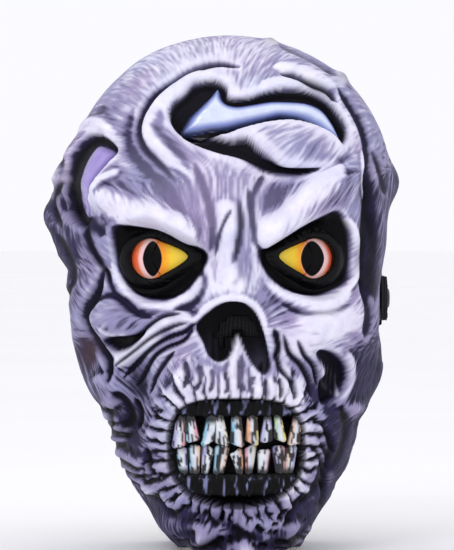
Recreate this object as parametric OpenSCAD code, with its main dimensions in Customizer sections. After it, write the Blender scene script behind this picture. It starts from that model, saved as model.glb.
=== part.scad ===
// Three-quarter latex horror mask with lens eyes, moulded teeth and an elastic head strap.
// Millimetres. The face looks towards -Y and +Z is up.
// The origin is at the middle of the mask's footprint, on the surface that it stands on.

/* [Head] */
// Height of the mask from its cut rim to the crown
head_h = 287; // [260:1:310]
// Half the width of the skull at its widest
skull_half_w = 88; // [82:1:96]
// Depth of the face in front of the widest section
face_depth = 92; // [84:1:98]
// Depth of the skull behind the widest section
skull_depth = 106; // [98:1:112]
// Height of the widest section, where the crown starts to close
crown_z = 205; // [195:1:215]
// Thickness of the latex wall
wall = 2.6; // [2:0.1:3.4]
// How much further the right side of the skull stands out than the left
side_bias = 3; // [0:0.5:4]
// How far the lopsided jaw leans towards the right side
jaw_lean = 9; // [0:0.5:10]

/* [Back opening] */
// Distance of the rear edge of the cheeks behind the widest section
edge_y = 50; // [44:1:54]
// Height at which the rear edge starts to arch towards the back of the skull
arch_start_z = 118; // [100:1:122]
// Height of the top of the rear arch
arch_top_z = 182; // [178:1:186]

/* [Eyes] */
// Distance of each pupil from the middle of the face
pupil_x = 44; // [42:0.5:46]
// Height of the pupils
pupil_z = 161.5; // [158:0.5:165]
// Radius of the round part of a lens
lens_r = 11.4; // [10.5:0.1:12]
// Distance from the pupil to the pointed corner of the eye
lens_tip = 18.6; // [17.5:0.1:20]
// Thickness of a lens
lens_t = 1; // [0.8:0.1:1.2]

/* [Mouth and nose] */
// Width of the mouth opening
mouth_w = 73; // [68:1:76]
// Height of the mouth opening
mouth_h = 58; // [54:1:60]
// Height of the middle of the mouth
mouth_z = 58; // [56:1:60]
// Radius of the upper dental arch
arch_r = 95; // [92:1:98]
// Number of upper teeth
upper_count = 9; // [7:1:10]
// Number of lower teeth
lower_count = 9; // [7:1:10]

/* [Strap] */
// Width of the elastic webbing
strap_w = 25; // [20:1:25]
// Thickness of the elastic webbing
strap_t = 1.5; // [1.2:0.1:1.6]
// Distance of the strap's back stretch behind the widest section
strap_back_y = 128; // [126:1:132]
// Height of the rivets and of the strap's centre line
rivet_z = 139; // [132:1:142]
// Distance of the rivets behind the widest section
rivet_y = 30; // [28:1:32]
// Radius of a rivet's shank
rivet_r = 2.5; // [2:0.1:3]
// Where the slider sits along the back stretch
slider_x = 6; // [0:1:10]

/* [Hidden] */

// The widest section stands this far behind the middle of the footprint.
section_y = -16;
// Roundness of each level of the head: 2 is an ellipse, more is squarer.
squareness = 2.3;
rim_rows = 15;
arch_rows = 12;
crown_rows = 3;
top_rows = 9;
columns = 66;
// The columns ahead of this angle run straight up, and the rest follow the rear edge.
face_angle = 100;
face_share = 0.64;
pad_t = 9;
scrim_t = 1;
eye_y = -70;
eye_turn = 16;
rim_ahead = 5;
rim_behind = 8;
fit_gap = 0.08;
move_gap = 0.35;
glue_gap = 0.25;
seat_gap = 0.2;
rivet_head_r = 6.5;
rivet_head_t = 1.4;
slider_w = 20;
ring_wire_r = 1.5;

// ---------------------------------------------------------------- the shape of the head

function clamp01(v) = max(0, min(1, v));
function ease(v) = let (t = clamp01(v)) t * t * (3 - 2 * t);
function power(v, p) = sign(v) * pow(abs(v), p);
function bell(d) = exp(-d * d);

// How far a level has closed towards the crown (above) or the rim (below).
function closing(z) = sqrt(max(0, 1 - pow((z - crown_z) / (head_h - crown_z), 2)));
function taper(z) = pow((crown_z - z) / crown_z, 3);

function half_width(z) = z > crown_z ? skull_half_w * closing(z)
                                     : skull_half_w * (1 - 0.56 * taper(z));
function front_depth(z) = z > crown_z ? face_depth * closing(z)
                                      : face_depth * (1 - 0.2 * taper(z));
function back_depth(z) = z > crown_z ? skull_depth * closing(z)
                                     : skull_depth * (1 - 0.3 * taper(z));

// A long ridge or groove between two points of the face, in front view.
function ridge(x, z, x1, z1, x2, z2, spread, height) =
    let (
        dx = x2 - x1,
        dz = z2 - z1,
        t = clamp01(((x - x1) * dx + (z - z1) * dz) / (dx * dx + dz * dz)),
        d = norm([x - x1 - t * dx, z - z1 - t * dz])
    )
    height * bell(d / spread);

// A round or oval swelling or hollow of the face, in front view.
function swell(x, z, cx, cz, rx, rz, height) =
    height * bell((x - cx) / rx) * bell((z - cz) / rz);

// Relief of the face: how far each point stands in front of the plain head.
function relief(x, z) =
    // brow ridges that frown towards the bridge of the nose
    ridge(x, z, -73, 200, -18, 175, 9, 9)
    + ridge(x, z, 67, 210, 17, 174, 9, 9)
    // eye sockets
    + swell(x, z, -pupil_x, pupil_z - 2, 21, 15, -15)
    + swell(x, z, pupil_x, pupil_z - 2, 21, 15, -15)
    // bridge of the nose and the muzzle
    + ridge(x, z, 0, 178, 1, 146, 9, 6)
    + swell(x, z, 1, 116, 34, 24, 6)
    + swell(x, z, 2, 58, 44, 38, 8)
    + swell(x, z, 2, 38, 44, 22, 5)
    // hollow of the missing nose
    + swell(x, z, 2, 118, 15, 15, -11)
    // cheekbones and the hollows below them
    + swell(x, z, -46, 124, 17, 13, 8)
    + swell(x, z, 46, 124, 17, 13, 8)
    + swell(x, z, -52, 92, 13, 22, -7)
    + swell(x, z, 54, 96, 12, 18, -7)
    // lobe of torn skin and open wound across the forehead
    + ridge(x, z, -25, 234, 58, 240, 10, -4)
    + ridge(x, z, 10, 216, 54, 226, 10, 5)
    + ridge(x, z, -46, 222, -24, 258, 9, 4)
    // crumpled chin
    + swell(x, z, 6, 14, 26, 12, 4);

// Relief of the sides: swollen ears and jowls, and a flat on each side for the strap's rivet.
function side_relief(x, y, z) =
    let (side = x < 0 ? -1 : 1)
    (side < 0 ? 16 * bell((y - 18) / 28) * bell((z - 187) / 15)
                - 8 * bell((z - 76) / 15)
              : 10 * bell((y - 18) / 28) * bell((z - 205) / 15)
                + 8 * bell((y - 2) / 28) * bell((z - 97) / 17))
    - (side < 0 ? 4.5 : 1) * bell((y - rivet_y) / 26) * bell((z - rivet_z) / 26);

// A point of the outer surface: angle 0 is the middle of the face, 180 the back of the skull.
function outer_point(angle, z) =
    let (
        sx = power(sin(angle), 2 / squareness),
        sy = power(-cos(angle), 2 / squareness),
        lean = side_bias * abs(sx) + jaw_lean * sx * sx * ease((90 - z) / 50),
        x = half_width(z) * sx + lean,
        y = (sy < 0 ? front_depth(z) : back_depth(z)) * sy,
        face = ease((-cos(angle) < 0 ? cos(angle) : 0) / 0.45),
        fade = ease((head_h - z) / 40)
    )
    [
        x + sx * abs(sx) * side_relief(x, y, z) * fade,
        y - relief(x, z) * face * fade,
        z
    ];

// Outward direction of the outer surface, from its neighbours.
function outward(angle, z) =
    let (
        across = outer_point(angle + 1.5, z) - outer_point(angle - 1.5, z),
        up = outer_point(angle, min(z + 1.5, head_h - 0.2))
           - outer_point(angle, min(z - 1.5, head_h - 3.2)),
        n = cross(across, up)
    )
    n / norm(n);

// A point at some depth under the outer surface, with its height kept on the rim.
function skin_point(angle, z, depth) =
    let (p = outer_point(angle, z) - depth * outward(angle, z))
    depth == 0 || z > 0.1 ? p : [p[0], p[1], 0];

// Angle of the rear edge at one height. It reaches the back of the skull at the arch's top.
function edge_angle(z) =
    let (
        rise = clamp01((z - arch_start_z) / (arch_top_z - arch_start_z)),
        back = back_depth(z),
        reach = back - (back - edge_y) * sqrt(1 - rise * rise)
    )
    90 + asin(pow(reach / back, squareness / 2));

// Height of the front surface for a point of the face in front view.
function face_y(x, z) =
    let (
        w = half_width(z) + side_bias * (x < 0 ? -1 : 1),
        depth = pow(max(0, 1 - pow(abs(x) / w, squareness)), 1 / squareness)
    )
    -front_depth(z) * depth - relief(x, z) * ease(depth / 0.45);

module placed() {
    translate([0, section_y, 0]) children();
}

// ---------------------------------------------------------------- shared building blocks

// Closed solid between two grids of points with the same number of rows and columns.
module grid_solid(front, back) {
    rows = len(front);
    cols = len(front[0]);
    n = rows * cols;
    points = concat([for (row = front) each row], [for (row = back) each row]);
    sheet = [
        for (i = [0:rows - 2], j = [0:cols - 2])
        let (a = i * cols + j)
        each [[a, a + cols, a + 1], [a + 1, a + cols, a + cols + 1]]
    ];
    rim = concat(
        [for (j = [0:cols - 1]) j],
        [for (i = [1:rows - 1]) i * cols + cols - 1],
        [for (j = [1:cols - 1]) n - 1 - j],
        [for (i = [1:rows - 2]) (rows - 1 - i) * cols]
    );
    polyhedron(points, concat(
        sheet,
        [for (f = sheet) [f[2] + n, f[1] + n, f[0] + n]],
        [for (k = [0:len(rim) - 1])
            let (a = rim[k], b = rim[(k + 1) % len(rim)])
            each [[a, b, a + n], [b, b + n, a + n]]]
    ));
}

// A pad that follows the inside of the head between two angles and two heights.
module lining(angle_from, angle_to, z_from, z_to, from, thickness, cols, rows) {
    steps = function(lo, hi, count, k) lo + (hi - lo) * k / count;
    layer = function(depth) [
        for (i = [0:rows]) [
            for (j = [0:cols])
            let (
                z = steps(z_from, z_to, rows, i),
                edge = max(abs(2 * i / rows - 1), abs(2 * j / cols - 1)),
                lift = depth > from ? (1 - 0.45 * pow(edge, 4)) : 1
            )
            skin_point(steps(angle_from, angle_to, cols, j), z, from + (depth - from) * lift)
        ]
    ];
    grid_solid(layer(from), layer(from + thickness));
}

// A patch on the face along a line of points given as [x, z, half width, lift].
module inlay(line, thickness, cols) {
    last = len(line) - 1;
    layer = function(sunk) [
        for (k = [0:last])
        let (
            before = line[max(k - 1, 0)],
            after = line[min(k + 1, last)],
            run = [after[0] - before[0], after[1] - before[1]],
            side = [-run[1], run[0]] / norm(run)
        )
        [
            for (j = [0:cols])
            let (
                t = 2 * j / cols - 1,
                x = line[k][0] + side[0] * line[k][2] * t,
                z = line[k][1] + side[1] * line[k][2] * t
            )
            [x, face_y(x, z) - line[k][3] * (1 - t * t) + sunk, z]
        ]
    ];
    grid_solid(layer(thickness), layer(0));
}

// Outline of an eye: a round eyeball drawn out to a point towards the nose.
function eye_outline(grow, nose_side) =
    let (
        r = lens_r + grow,
        tip = lens_tip * r / lens_r,
        tangent = acos(r / tip),
        steps = 20
    )
    [
        for (k = [0:steps])
        let (a = tangent + (360 - 2 * tangent) * k / steps)
        [nose_side * r * cos(a), r * sin(a)],
        [nose_side * tip, 0]
    ];

// The eye's own frame: its middle, turned outwards with the socket.
module at_eye(side) {
    translate([side * pupil_x, eye_y, pupil_z])
        rotate([0, 0, side * eye_turn])
            children();
}

// Eye outline stood between two depths of the eye's own frame.
module eye_block(side, grow, y_from, y_to) {
    at_eye(side)
        translate([0, y_to, 0])
            rotate([90, 0, 0])
                rotate([0, 0, side * 4])
                    linear_extrude(height = y_to - y_from)
                        polygon(eye_outline(grow, -side));
}

// Rounded rectangle in front view.
function mouth_outline(grow) =
    let (
        w = mouth_w / 2 + grow,
        h = mouth_h / 2 + grow,
        steps = 40
    )
    [
        for (k = [0:steps - 1])
        let (a = 360 * k / steps)
        [w * power(cos(a), 0.55) + 1.5, h * power(sin(a), 0.55)]
    ];

// Upside-down heart of the missing nose, in front view.
function nose_outline(grow) =
    let (steps = 32)
    [
        for (k = [0:steps - 1])
        let (
            a = 360 * k / steps,
            r = 18 + 2.5 * sin(a) - 11 * bell((a - 266) / 24) + grow
        )
        [2 + 1.1 * r * cos(a), r * sin(a)]
    ];
nose_z = 119;

// ---------------------------------------------------------------- the strap's route

function unit(v) = v / norm(v);

// Corner of a route rounded to an arc.
function corner(a, p, b, r) =
    let (
        d1 = unit(a - p),
        d2 = unit(b - p),
        half = acos(d1 * d2) / 2,
        centre = p + unit(d1 + d2) * r / sin(half),
        start = p + d1 * r / tan(half),
        turn = cross(p - a, b - p) > 0 ? 180 - 2 * half : 2 * half - 180,
        steps = 10
    )
    [
        for (k = [0:steps])
        let (t = turn * k / steps, v = start - centre)
        centre + [v[0] * cos(t) - v[1] * sin(t), v[0] * sin(t) + v[1] * cos(t)]
    ];

// A route moved sideways, with the distance blended from one end to the other.
function beside(route, offsets) =
    [
        for (k = [0:len(route) - 1])
        let (
            run = unit(route[min(k + 1, len(route) - 1)] - route[max(k - 1, 0)]),
            side = [run[1], -run[0]]
        )
        route[k] + side * offsets[k]
    ];

left_x = -82.6;
ring_x = 93;
ring_front_y = 49;
ring_back_y = 62;
bend_r = 26;
strap_end_y = rivet_y - 11;
// Corners of the strap's route, seen from above, before they are rounded.
left_bend = [left_x, 80];
left_turn = [-56, strap_back_y];
right_turn = [58, strap_back_y];
right_bend = [ring_x, 92];
back_middle = [slider_x, strap_back_y];

strap_left = concat(
    [[left_x, strap_end_y]],
    corner([left_x, strap_end_y], left_bend, left_turn, bend_r),
    corner(left_bend, left_turn, back_middle, bend_r)
);
strap_right = concat(
    corner(back_middle, right_turn, right_bend, bend_r),
    corner(right_turn, right_bend, [ring_x, ring_back_y], bend_r),
    [[ring_x, ring_back_y]]
);
layer_off = strap_t + move_gap;
loop_off = ring_wire_r + 0.2 + strap_t / 2;
// The two layers open out around the ring over the last stretch of the route.
function layer_offsets(route, far) =
    [
        for (p = route)
        let (near = ease(1 - (norm(p - route[len(route) - 1])) / 22))
        far + (loop_off - far) * near
    ];

// Webbing of the strap's width along a route.
module webbing(route) {
    half = [for (p = route) strap_t / 2];
    outline = concat(
        beside(route, half),
        [for (p = beside(route, -half)) p]
    );
    n = len(route);
    order = [for (k = [0:n - 1]) k, for (k = [0:n - 1]) 2 * n - 1 - k];
    translate([0, 0, rivet_z - strap_w / 2])
        linear_extrude(height = strap_w)
            polygon([for (k = order) outline[k]]);
}

// Cylinder along X between two distances, on the axis of the rivets.
module across(x_from, x_to, r, y = rivet_y) {
    translate([x_from, y, rivet_z])
        rotate([0, 90, 0])
            cylinder(h = x_to - x_from, r = r, $fn = 48);
}

// Upright cylinder around the strap's centre line.
module upright(x, y, r, h) {
    translate([x, y, rivet_z - h / 2])
        cylinder(h = h, r = r, $fn = 40);
}

// ---------------------------------------------------------------- latex shell

// The skin is one moulding. It is drawn in three levels that meet face to face.
low_rows = rim_rows + arch_rows;
jaw_row = 12;
crown_row = low_rows + crown_rows;
top_row = crown_row + top_rows - 1;
shell_zs = concat(
    [for (i = [0:rim_rows - 1]) arch_start_z * i / rim_rows],
    [for (i = [0:arch_rows]) arch_start_z + (arch_top_z - arch_start_z) * sin(90 * i / arch_rows)],
    [for (i = [1:crown_rows]) arch_top_z + (crown_z - arch_top_z) * i / crown_rows],
    [for (i = [1:top_rows - 1]) crown_z + (head_h - crown_z) * sin(90 * i / top_rows)]
);

// Angle of one column of the shell's grid. Rows from the arch's top upwards are closed rings.
function shell_angle(i, j) =
    let (
        s = 2 * j / columns - 1,
        t = abs(s),
        last = i >= low_rows ? 180 : edge_angle(shell_zs[i])
    )
    sign(s) * (t < face_share
        ? face_angle * t / face_share
        : face_angle + (last - face_angle) * (t - face_share) / (1 - face_share));

// The wall of the shell between two rows of its grid, closed over the crown after the last row.
module shell_rows(first, last) {
    cols = columns + 1;
    n = (last - first + 1) * cols;
    domed = last == top_row;
    layer = function(depth) [
        for (i = [first:last], j = [0:columns]) skin_point(shell_angle(i, j), shell_zs[i], depth)
    ];
    // The last point of a closed ring is its first again.
    at = function(i, j) (i - first) * cols + (i >= low_rows && j == columns ? 0 : j);
    skin = [
        for (i = [first:last - 1], j = [0:columns - 1])
        let (a = at(i, j), b = at(i, j + 1), c = at(i + 1, j), d = at(i + 1, j + 1))
        each [[a, c, b], [b, c, d]]
    ];
    crown = domed ? [for (j = [0:columns - 1]) [at(last, j), 2 * n, at(last, j + 1)]] : [];
    floor_wall = [
        for (j = [0:columns - 1])
        let (a = at(first, j), b = at(first, j + 1))
        each [[a, b, a + n], [b, b + n, a + n]]
    ];
    roof_wall = domed ? [] : [
        for (j = [0:columns - 1])
        let (a = at(last, j), b = at(last, j + 1))
        each [[b, a, a + n], [b, a + n, b + n]]
    ];
    rear_edges = first >= low_rows ? [] : [
        for (i = [first:min(last, low_rows) - 1])
        let (a = at(i, 0), b = at(i + 1, 0), c = at(i, columns), d = at(i + 1, columns))
        each [[b, a, a + n], [b, a + n, b + n], [c, d, c + n], [d, d + n, c + n]]
    ];
    polyhedron(
        concat(layer(0), layer(wall), domed ? [[0, 0, head_h], [0, 0, head_h - wall]] : []),
        concat(
            skin,
            [for (f = skin) [f[2] + n, f[1] + n, f[0] + n]],
            crown,
            [for (f = crown) [f[2] + n, 2 * n + 1, f[0] + n]],
            floor_wall,
            roof_wall,
            rear_edges
        )
    );
}

module latex_jaw() {
    color([0.62, 0.59, 0.77])
    placed()
    difference() {
        shell_rows(0, jaw_row);
        translate([0, -40, mouth_z])
            rotate([90, 0, 0])
                linear_extrude(height = 80)
                    polygon(mouth_outline(0));
    }
}

module latex_face() {
    color([0.68, 0.65, 0.82])
    placed()
    difference() {
        shell_rows(jaw_row, crown_row);
        for (side = [-1, 1])
            eye_block(side, 1.8, -40, 30);
        translate([0, -50, nose_z])
            rotate([90, 0, 0])
                linear_extrude(height = 70)
                    polygon(nose_outline(0));
        across(-100, -60, rivet_r + 0.05);
        across(60, 100, rivet_r + 0.05);
    }
}

module latex_crown() {
    color([0.72, 0.69, 0.86])
    placed()
    shell_rows(crown_row, top_row);
}

// ---------------------------------------------------------------- eyes

// Domed film, printed with a see-through smoked pupil.
module eye_lens(side) {
    dome_r = 42;
    color([0.96, 0.62, 0.2])
    placed()
    difference() {
        intersection() {
            eye_block(side, -0.1, -4, 8);
            at_eye(side)
                translate([0, dome_r - 2, 0])
                    sphere(r = dome_r, $fn = 96);
        }
        at_eye(side)
            translate([0, dome_r - 2, 0])
                sphere(r = dome_r - lens_t, $fn = 96);
    }
}

// Thin rim that holds the lens in the latex.
module lens_rim(side) {
    color([0.05, 0.05, 0.07])
    placed()
    difference() {
        eye_block(side, 1.7, -rim_ahead, rim_behind);
        eye_block(side, 0, -rim_ahead - 1, rim_behind + 1);
    }
}

module left_eye_lens() {
    eye_lens(-1);
}

module right_eye_lens() {
    eye_lens(1);
}

module left_lens_rim() {
    lens_rim(-1);
}

module right_lens_rim() {
    lens_rim(1);
}

// ---------------------------------------------------------------- mouth

// Dental arches as [radius, distance of the centre behind the section, half angle].
upper_arch = [arch_r, 8, 25.5];
lower_arch = [arch_r - 9, 3, 22];
mouth_x = 1.5;
tooth_t = 4;
upper_gum_z = 74;
lower_gum_z = 43;
scrim_y = -75.6;

// Bar that follows a dental arch, between two heights and two depths behind its front.
module arch_bar(arch, z_from, z_to, d_from, d_to) {
    steps = 20;
    angles = [for (k = [0:steps]) arch[2] * (2 * k / steps - 1)];
    translate([mouth_x, arch[1], z_from])
        linear_extrude(height = z_to - z_from)
            polygon(concat(
                [for (a = angles) (arch[0] - d_from) * [sin(a), -cos(a)]],
                [for (k = [0:steps]) let (a = angles[steps - k]) (arch[0] - d_to) * [sin(a), -cos(a)]]
            ));
}

// One row of teeth, wide where they bite and narrow at the gum, each leaning its own way.
module tooth_row(arch, spread, count, root_z, bite_z, seed) {
    pitch = 2 * spread / count;
    chance = rands(0, 1, count * 3, seed);
    for (k = [0:count - 1]) {
        a = spread * (2 * (k + 0.5) / count - 1);
        wide = arch[0] * pitch * PI / 180;
        lean = 3 * (chance[3 * k] - 0.5);
        tip = bite_z + sign(root_z - bite_z) * 3 * chance[3 * k + 1];
        narrow = wide * (0.26 + 0.12 * chance[3 * k + 2]);
        shoulder = tip + (root_z - tip) * 0.25;
        translate([mouth_x, arch[1], 0])
            rotate([0, 0, a])
                translate([0, tooth_t - arch[0], 0])
                    rotate([90, 0, 0])
                        linear_extrude(height = tooth_t)
                            polygon([
                                [lean - narrow / 2, root_z],
                                [lean + narrow / 2, root_z],
                                [wide * 0.44, shoulder],
                                [wide * 0.3, tip],
                                [-wide * 0.3, tip],
                                [-wide * 0.44, shoulder]
                            ]);
    }
}

module upper_gum() {
    color([0.2, 0.2, 0.25])
    placed()
    arch_bar(upper_arch, upper_gum_z, upper_gum_z + 11, -0.5, 11);
}

module lower_gum() {
    color([0.2, 0.2, 0.25])
    placed()
    arch_bar(lower_arch, lower_gum_z - 11, lower_gum_z, -0.5, 7);
}

module upper_teeth() {
    color([0.85, 0.83, 0.9])
    placed()
    tooth_row(upper_arch, 22, upper_count, upper_gum_z + 1, 59.5, 4);
}

module lower_teeth() {
    color([0.85, 0.83, 0.9])
    placed()
    tooth_row(lower_arch, 23.5, lower_count, lower_gum_z - 1, 57.5, 9);
}

// Black mesh stretched behind the teeth, that the wearer breathes and speaks through.
module mouth_scrim() {
    color([0.05, 0.05, 0.06])
    placed()
    arch_bar([upper_arch[1] - scrim_y, upper_arch[1], 25], 26, 88, 0, scrim_t);
}

// Black mesh glued inside the hollow of the nose.
module nose_scrim() {
    color([0.05, 0.05, 0.06])
    placed()
    lining(-17, 19, 94, 144, wall + 1, scrim_t, 10, 8);
}

// ---------------------------------------------------------------- bone inserts

module forehead_bone() {
    color([0.72, 0.78, 0.93])
    placed()
    inlay([
        [-27, 233, 2, 1], [-18, 240, 7, 2.5], [-6, 242, 8, 3], [6, 240, 6, 3],
        [20, 243, 6, 3], [34, 245, 6.5, 3], [48, 240, 6, 2.5], [58, 231, 2, 1]
    ], 5, 4);
}

module temple_bone() {
    color([0.55, 0.5, 0.75])
    placed()
    inlay([
        [-62, 222, 2, 0.5], [-67, 214, 4, 1], [-70, 205, 4.5, 1], [-71, 196, 4, 1],
        [-71, 188, 2, 0.5]
    ], 4, 4);
}

// ---------------------------------------------------------------- foam pads and patches

module foam(angle_from, angle_to, z_from, z_to, gap) {
    color([0.35, 0.35, 0.38])
    placed()
    lining(angle_from, angle_to, z_from, z_to, wall + gap, pad_t, 12, 6);
}

module brow_pad() {
    foam(-32, 32, 206, 232, 2);
}

module crown_pad() {
    foam(120, 240, 222, 262, 0.6);
}

module left_cheek_pad() {
    foam(-92, -58, 84, 122, 0.6);
}

module right_cheek_pad() {
    foam(58, 92, 84, 122, 0.6);
}

module chin_pad() {
    foam(-24, 24, 7, 21, 0.6);
}

// Canvas patch that spreads the rivet's pull inside the latex.
module anchor_patch(side) {
    middle = side * rivet_angle;
    color([0.85, 0.83, 0.75])
    placed()
    difference() {
        lining(middle - 9, middle + 9, rivet_z - 17, rivet_z + 17, wall + glue_gap, patch_t, 6, 6);
        across(side * 85 - 20, side * 85 + 20, rivet_r + 0.05);
    }
}

module left_anchor_patch() {
    anchor_patch(-1);
}

module right_anchor_patch() {
    anchor_patch(1);
}

// ---------------------------------------------------------------- rivets and washers

patch_t = 1.2;
flange_t = 0.4;
washer_t = 1;
tail_t = 0.9;
washer_r = 8;
spacer_r = 7;
// Angle of the rivets around the head.
rivet_angle = 103.5;

// How far out a layer of the wall stands at points on a disc around a rivet.
function stand_out(side, depth, r) =
    [
        for (turn = [-8:8], up = [-8:2:8])
        let (p = skin_point(side * (rivet_angle + turn), rivet_z + up, depth))
        if (norm([p[1] - rivet_y, p[2] - rivet_z]) < r + 0.5) abs(p[0])
    ];

// The washers bear on the innermost point of the patches, and the spacer on the outermost of the skin.
left_inside_x = seat_gap - min(stand_out(-1, wall + glue_gap + patch_t, washer_r));
right_inside_x = min(stand_out(1, wall + glue_gap + patch_t, washer_r)) - seat_gap;
left_head_x = left_x - strap_t / 2 - flange_t - 0.15;
right_head_x = ring_x + strap_t + flange_t + 0.15;
spacer_x = max(stand_out(1, 0, spacer_r)) + seat_gap;

// Rivet with its head outside the strap and a flared tail inside the mask.
module rivet(side, head_x, tail_x) {
    reach = abs(head_x - tail_x);
    color([0.25, 0.25, 0.27])
    placed()
    translate([head_x, rivet_y, rivet_z])
        rotate([0, -side * 90, 0])
            union() {
                cylinder(h = reach, r = rivet_r, $fn = 48);
                translate([0, 0, -rivet_head_t])
                    cylinder(h = rivet_head_t, r1 = rivet_head_r - 1.5, r2 = rivet_head_r, $fn = 48);
                translate([0, 0, reach - tail_t])
                    cylinder(h = tail_t, r = rivet_r + 1.3, $fn = 48);
            }
}

module left_rivet() {
    rivet(-1, left_head_x, left_inside_x + washer_t + tail_t);
}

module right_rivet() {
    rivet(1, right_head_x, right_inside_x - washer_t - tail_t);
}

// Flat ring on the rivets' axis.
module rivet_ring(x_from, x_to, r, hole_r) {
    placed()
    difference() {
        across(x_from, x_to, r);
        across(x_from - 1, x_to + 1, hole_r);
    }
}

module left_washer() {
    color([0.6, 0.6, 0.63])
    rivet_ring(left_inside_x, left_inside_x + washer_t, washer_r, rivet_r + 0.05);
}

module right_washer() {
    color([0.6, 0.6, 0.63])
    rivet_ring(right_inside_x - washer_t, right_inside_x, washer_r, rivet_r + 0.05);
}

// Spacer that keeps the tab and its ring off the latex.
module right_spacer() {
    color([0.1, 0.1, 0.11])
    rivet_ring(spacer_x, ring_x - strap_t - move_gap, spacer_r, rivet_r + 0.05);
}

// ---------------------------------------------------------------- elastic strap

strap_hole_r = 4;

module strap_band() {
    color([0.06, 0.06, 0.07])
    placed()
    difference() {
        union() {
            webbing(concat(
                strap_left,
                beside(strap_right, -layer_offsets(strap_right, 0))
            ));
            // the turn around the ring's rear bar
            difference() {
                upright(ring_x, ring_back_y, loop_off + strap_t / 2, strap_w);
                upright(ring_x, ring_back_y, loop_off - strap_t / 2, strap_w + 2);
                translate([ring_x - 10, ring_back_y, rivet_z - strap_w])
                    cube([20, 20, 2 * strap_w]);
            }
        }
        across(left_x - 5, left_x + 5, strap_hole_r);
    }
}

// Inner layer of the strap, from the ring back to the slider. It stretches with the slider.
module strap_return() {
    route = concat([[slider_x + slider_w / 2, strap_back_y]], strap_right);
    color([0.06, 0.06, 0.07])
    placed()
    webbing(beside(route, layer_offsets(route, layer_off)));
}

// Metal eyelet that lines a strap hole and turns on the rivet.
module eyelet(side, x_in, x_out) {
    color([0.7, 0.7, 0.72])
    placed()
    difference() {
        union() {
            across(min(x_in, x_out), max(x_in, x_out), strap_hole_r);
            across(min(x_out, x_out + side * flange_t), max(x_out, x_out + side * flange_t), 5.5);
        }
        across(side * 85 - 20, side * 85 + 20, rivet_r + fit_gap);
    }
}

module left_eyelet() {
    eyelet(-1, left_x + strap_t / 2, left_x - strap_t / 2);
}

module right_eyelet() {
    eyelet(1, ring_x - strap_t, ring_x + strap_t);
}

// Doubled webbing tab that holds the ring on the right side.
module right_tab() {
    loop_r = ring_wire_r + 0.2 + strap_t;
    low = rivet_z - strap_w / 2;
    color([0.07, 0.07, 0.08])
    placed()
    difference() {
        union() {
            translate([ring_x - strap_t, strap_end_y, low])
                cube([2 * strap_t, ring_front_y - strap_end_y - 6, strap_w]);
            translate([0, 0, low])
                linear_extrude(height = strap_w)
                    polygon([
                        [ring_x - strap_t, ring_front_y - 8],
                        [ring_x + strap_t, ring_front_y - 8],
                        [ring_x + loop_r, ring_front_y],
                        [ring_x - loop_r, ring_front_y]
                    ]);
            upright(ring_x, ring_front_y, loop_r, strap_w);
        }
        upright(ring_x, ring_front_y, ring_wire_r + 0.2, strap_w + 2);
        across(ring_x - 5, ring_x + 5, strap_hole_r);
    }
}

// Rectangular ring between the tab and the strap.
module strap_ring() {
    half = strap_w / 2 + ring_wire_r + 0.6;
    color([0.1, 0.1, 0.11])
    placed()
    union() {
        for (y = [ring_front_y, ring_back_y])
            upright(ring_x, y, ring_wire_r, 2 * half);
        for (up = [-1, 1]) {
            translate([ring_x, ring_front_y, rivet_z + up * half])
                rotate([-90, 0, 0])
                    cylinder(h = ring_back_y - ring_front_y, r = ring_wire_r, $fn = 40);
            for (y = [ring_front_y, ring_back_y])
                translate([ring_x, y, rivet_z + up * half])
                    sphere(r = ring_wire_r, $fn = 40);
        }
    }
}

// Rows of thread that close the tab and hem the strap's riveted end.
module strap_stitching() {
    thread_r = 0.35;
    stitch = 3;
    color([0.3, 0.3, 0.33])
    placed()
    for (x = [ring_x + strap_t, ring_x - strap_t], y = [rivet_y + 8, strap_end_y + 2])
        for (z = [rivet_z - strap_w / 2 + 3 : stitch + 1 : rivet_z + strap_w / 2 - 3])
            translate([x, y, z - stitch / 2])
                cylinder(h = stitch, r = thread_r, $fn = 16);
}

// Middle bar of the slider, far enough inside the band for the sewn loop to pass.
bar_r = 1;
loop_in_r = bar_r + 0.1;
loop_out_r = loop_in_r + strap_t;
bar_y = strap_back_y - strap_t / 2 - move_gap - loop_out_r;

// Three-bar slider: the band runs through it and the return is sewn around its middle bar.
module strap_slider() {
    side_t = 3;
    end_bar = 3;
    half_in = strap_w / 2 + 1;
    outer_y = strap_back_y + strap_t / 2 + move_gap;
    color([0.09, 0.09, 0.1])
    placed()
    translate([slider_x, 0, rivet_z])
    union() {
        for (up = [-1, 1])
            translate([-slider_w / 2, bar_y - 1.2, up * (half_in + side_t / 2) - side_t / 2])
                cube([slider_w, outer_y + 2 - bar_y + 1.2, side_t]);
        for (end = [-1, 1])
            translate([end * (slider_w - end_bar) / 2 - end_bar / 2, outer_y, -half_in - 0.5])
                cube([end_bar, 2, 2 * half_in + 1]);
        translate([0, bar_y, -half_in - 0.5])
            cylinder(h = 2 * half_in + 1, r = bar_r, $fn = 32);
    }
}

// End of the return layer, sewn around the slider's middle bar.
module return_loop() {
    color([0.06, 0.06, 0.07])
    placed()
    difference() {
        union() {
            upright(slider_x, bar_y, loop_out_r, strap_w);
            translate([slider_x, bar_y + loop_in_r, rivet_z - strap_w / 2])
                cube([slider_w / 2, strap_t, strap_w]);
        }
        upright(slider_x, bar_y, loop_in_r, strap_w + 2);
    }
}

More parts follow.
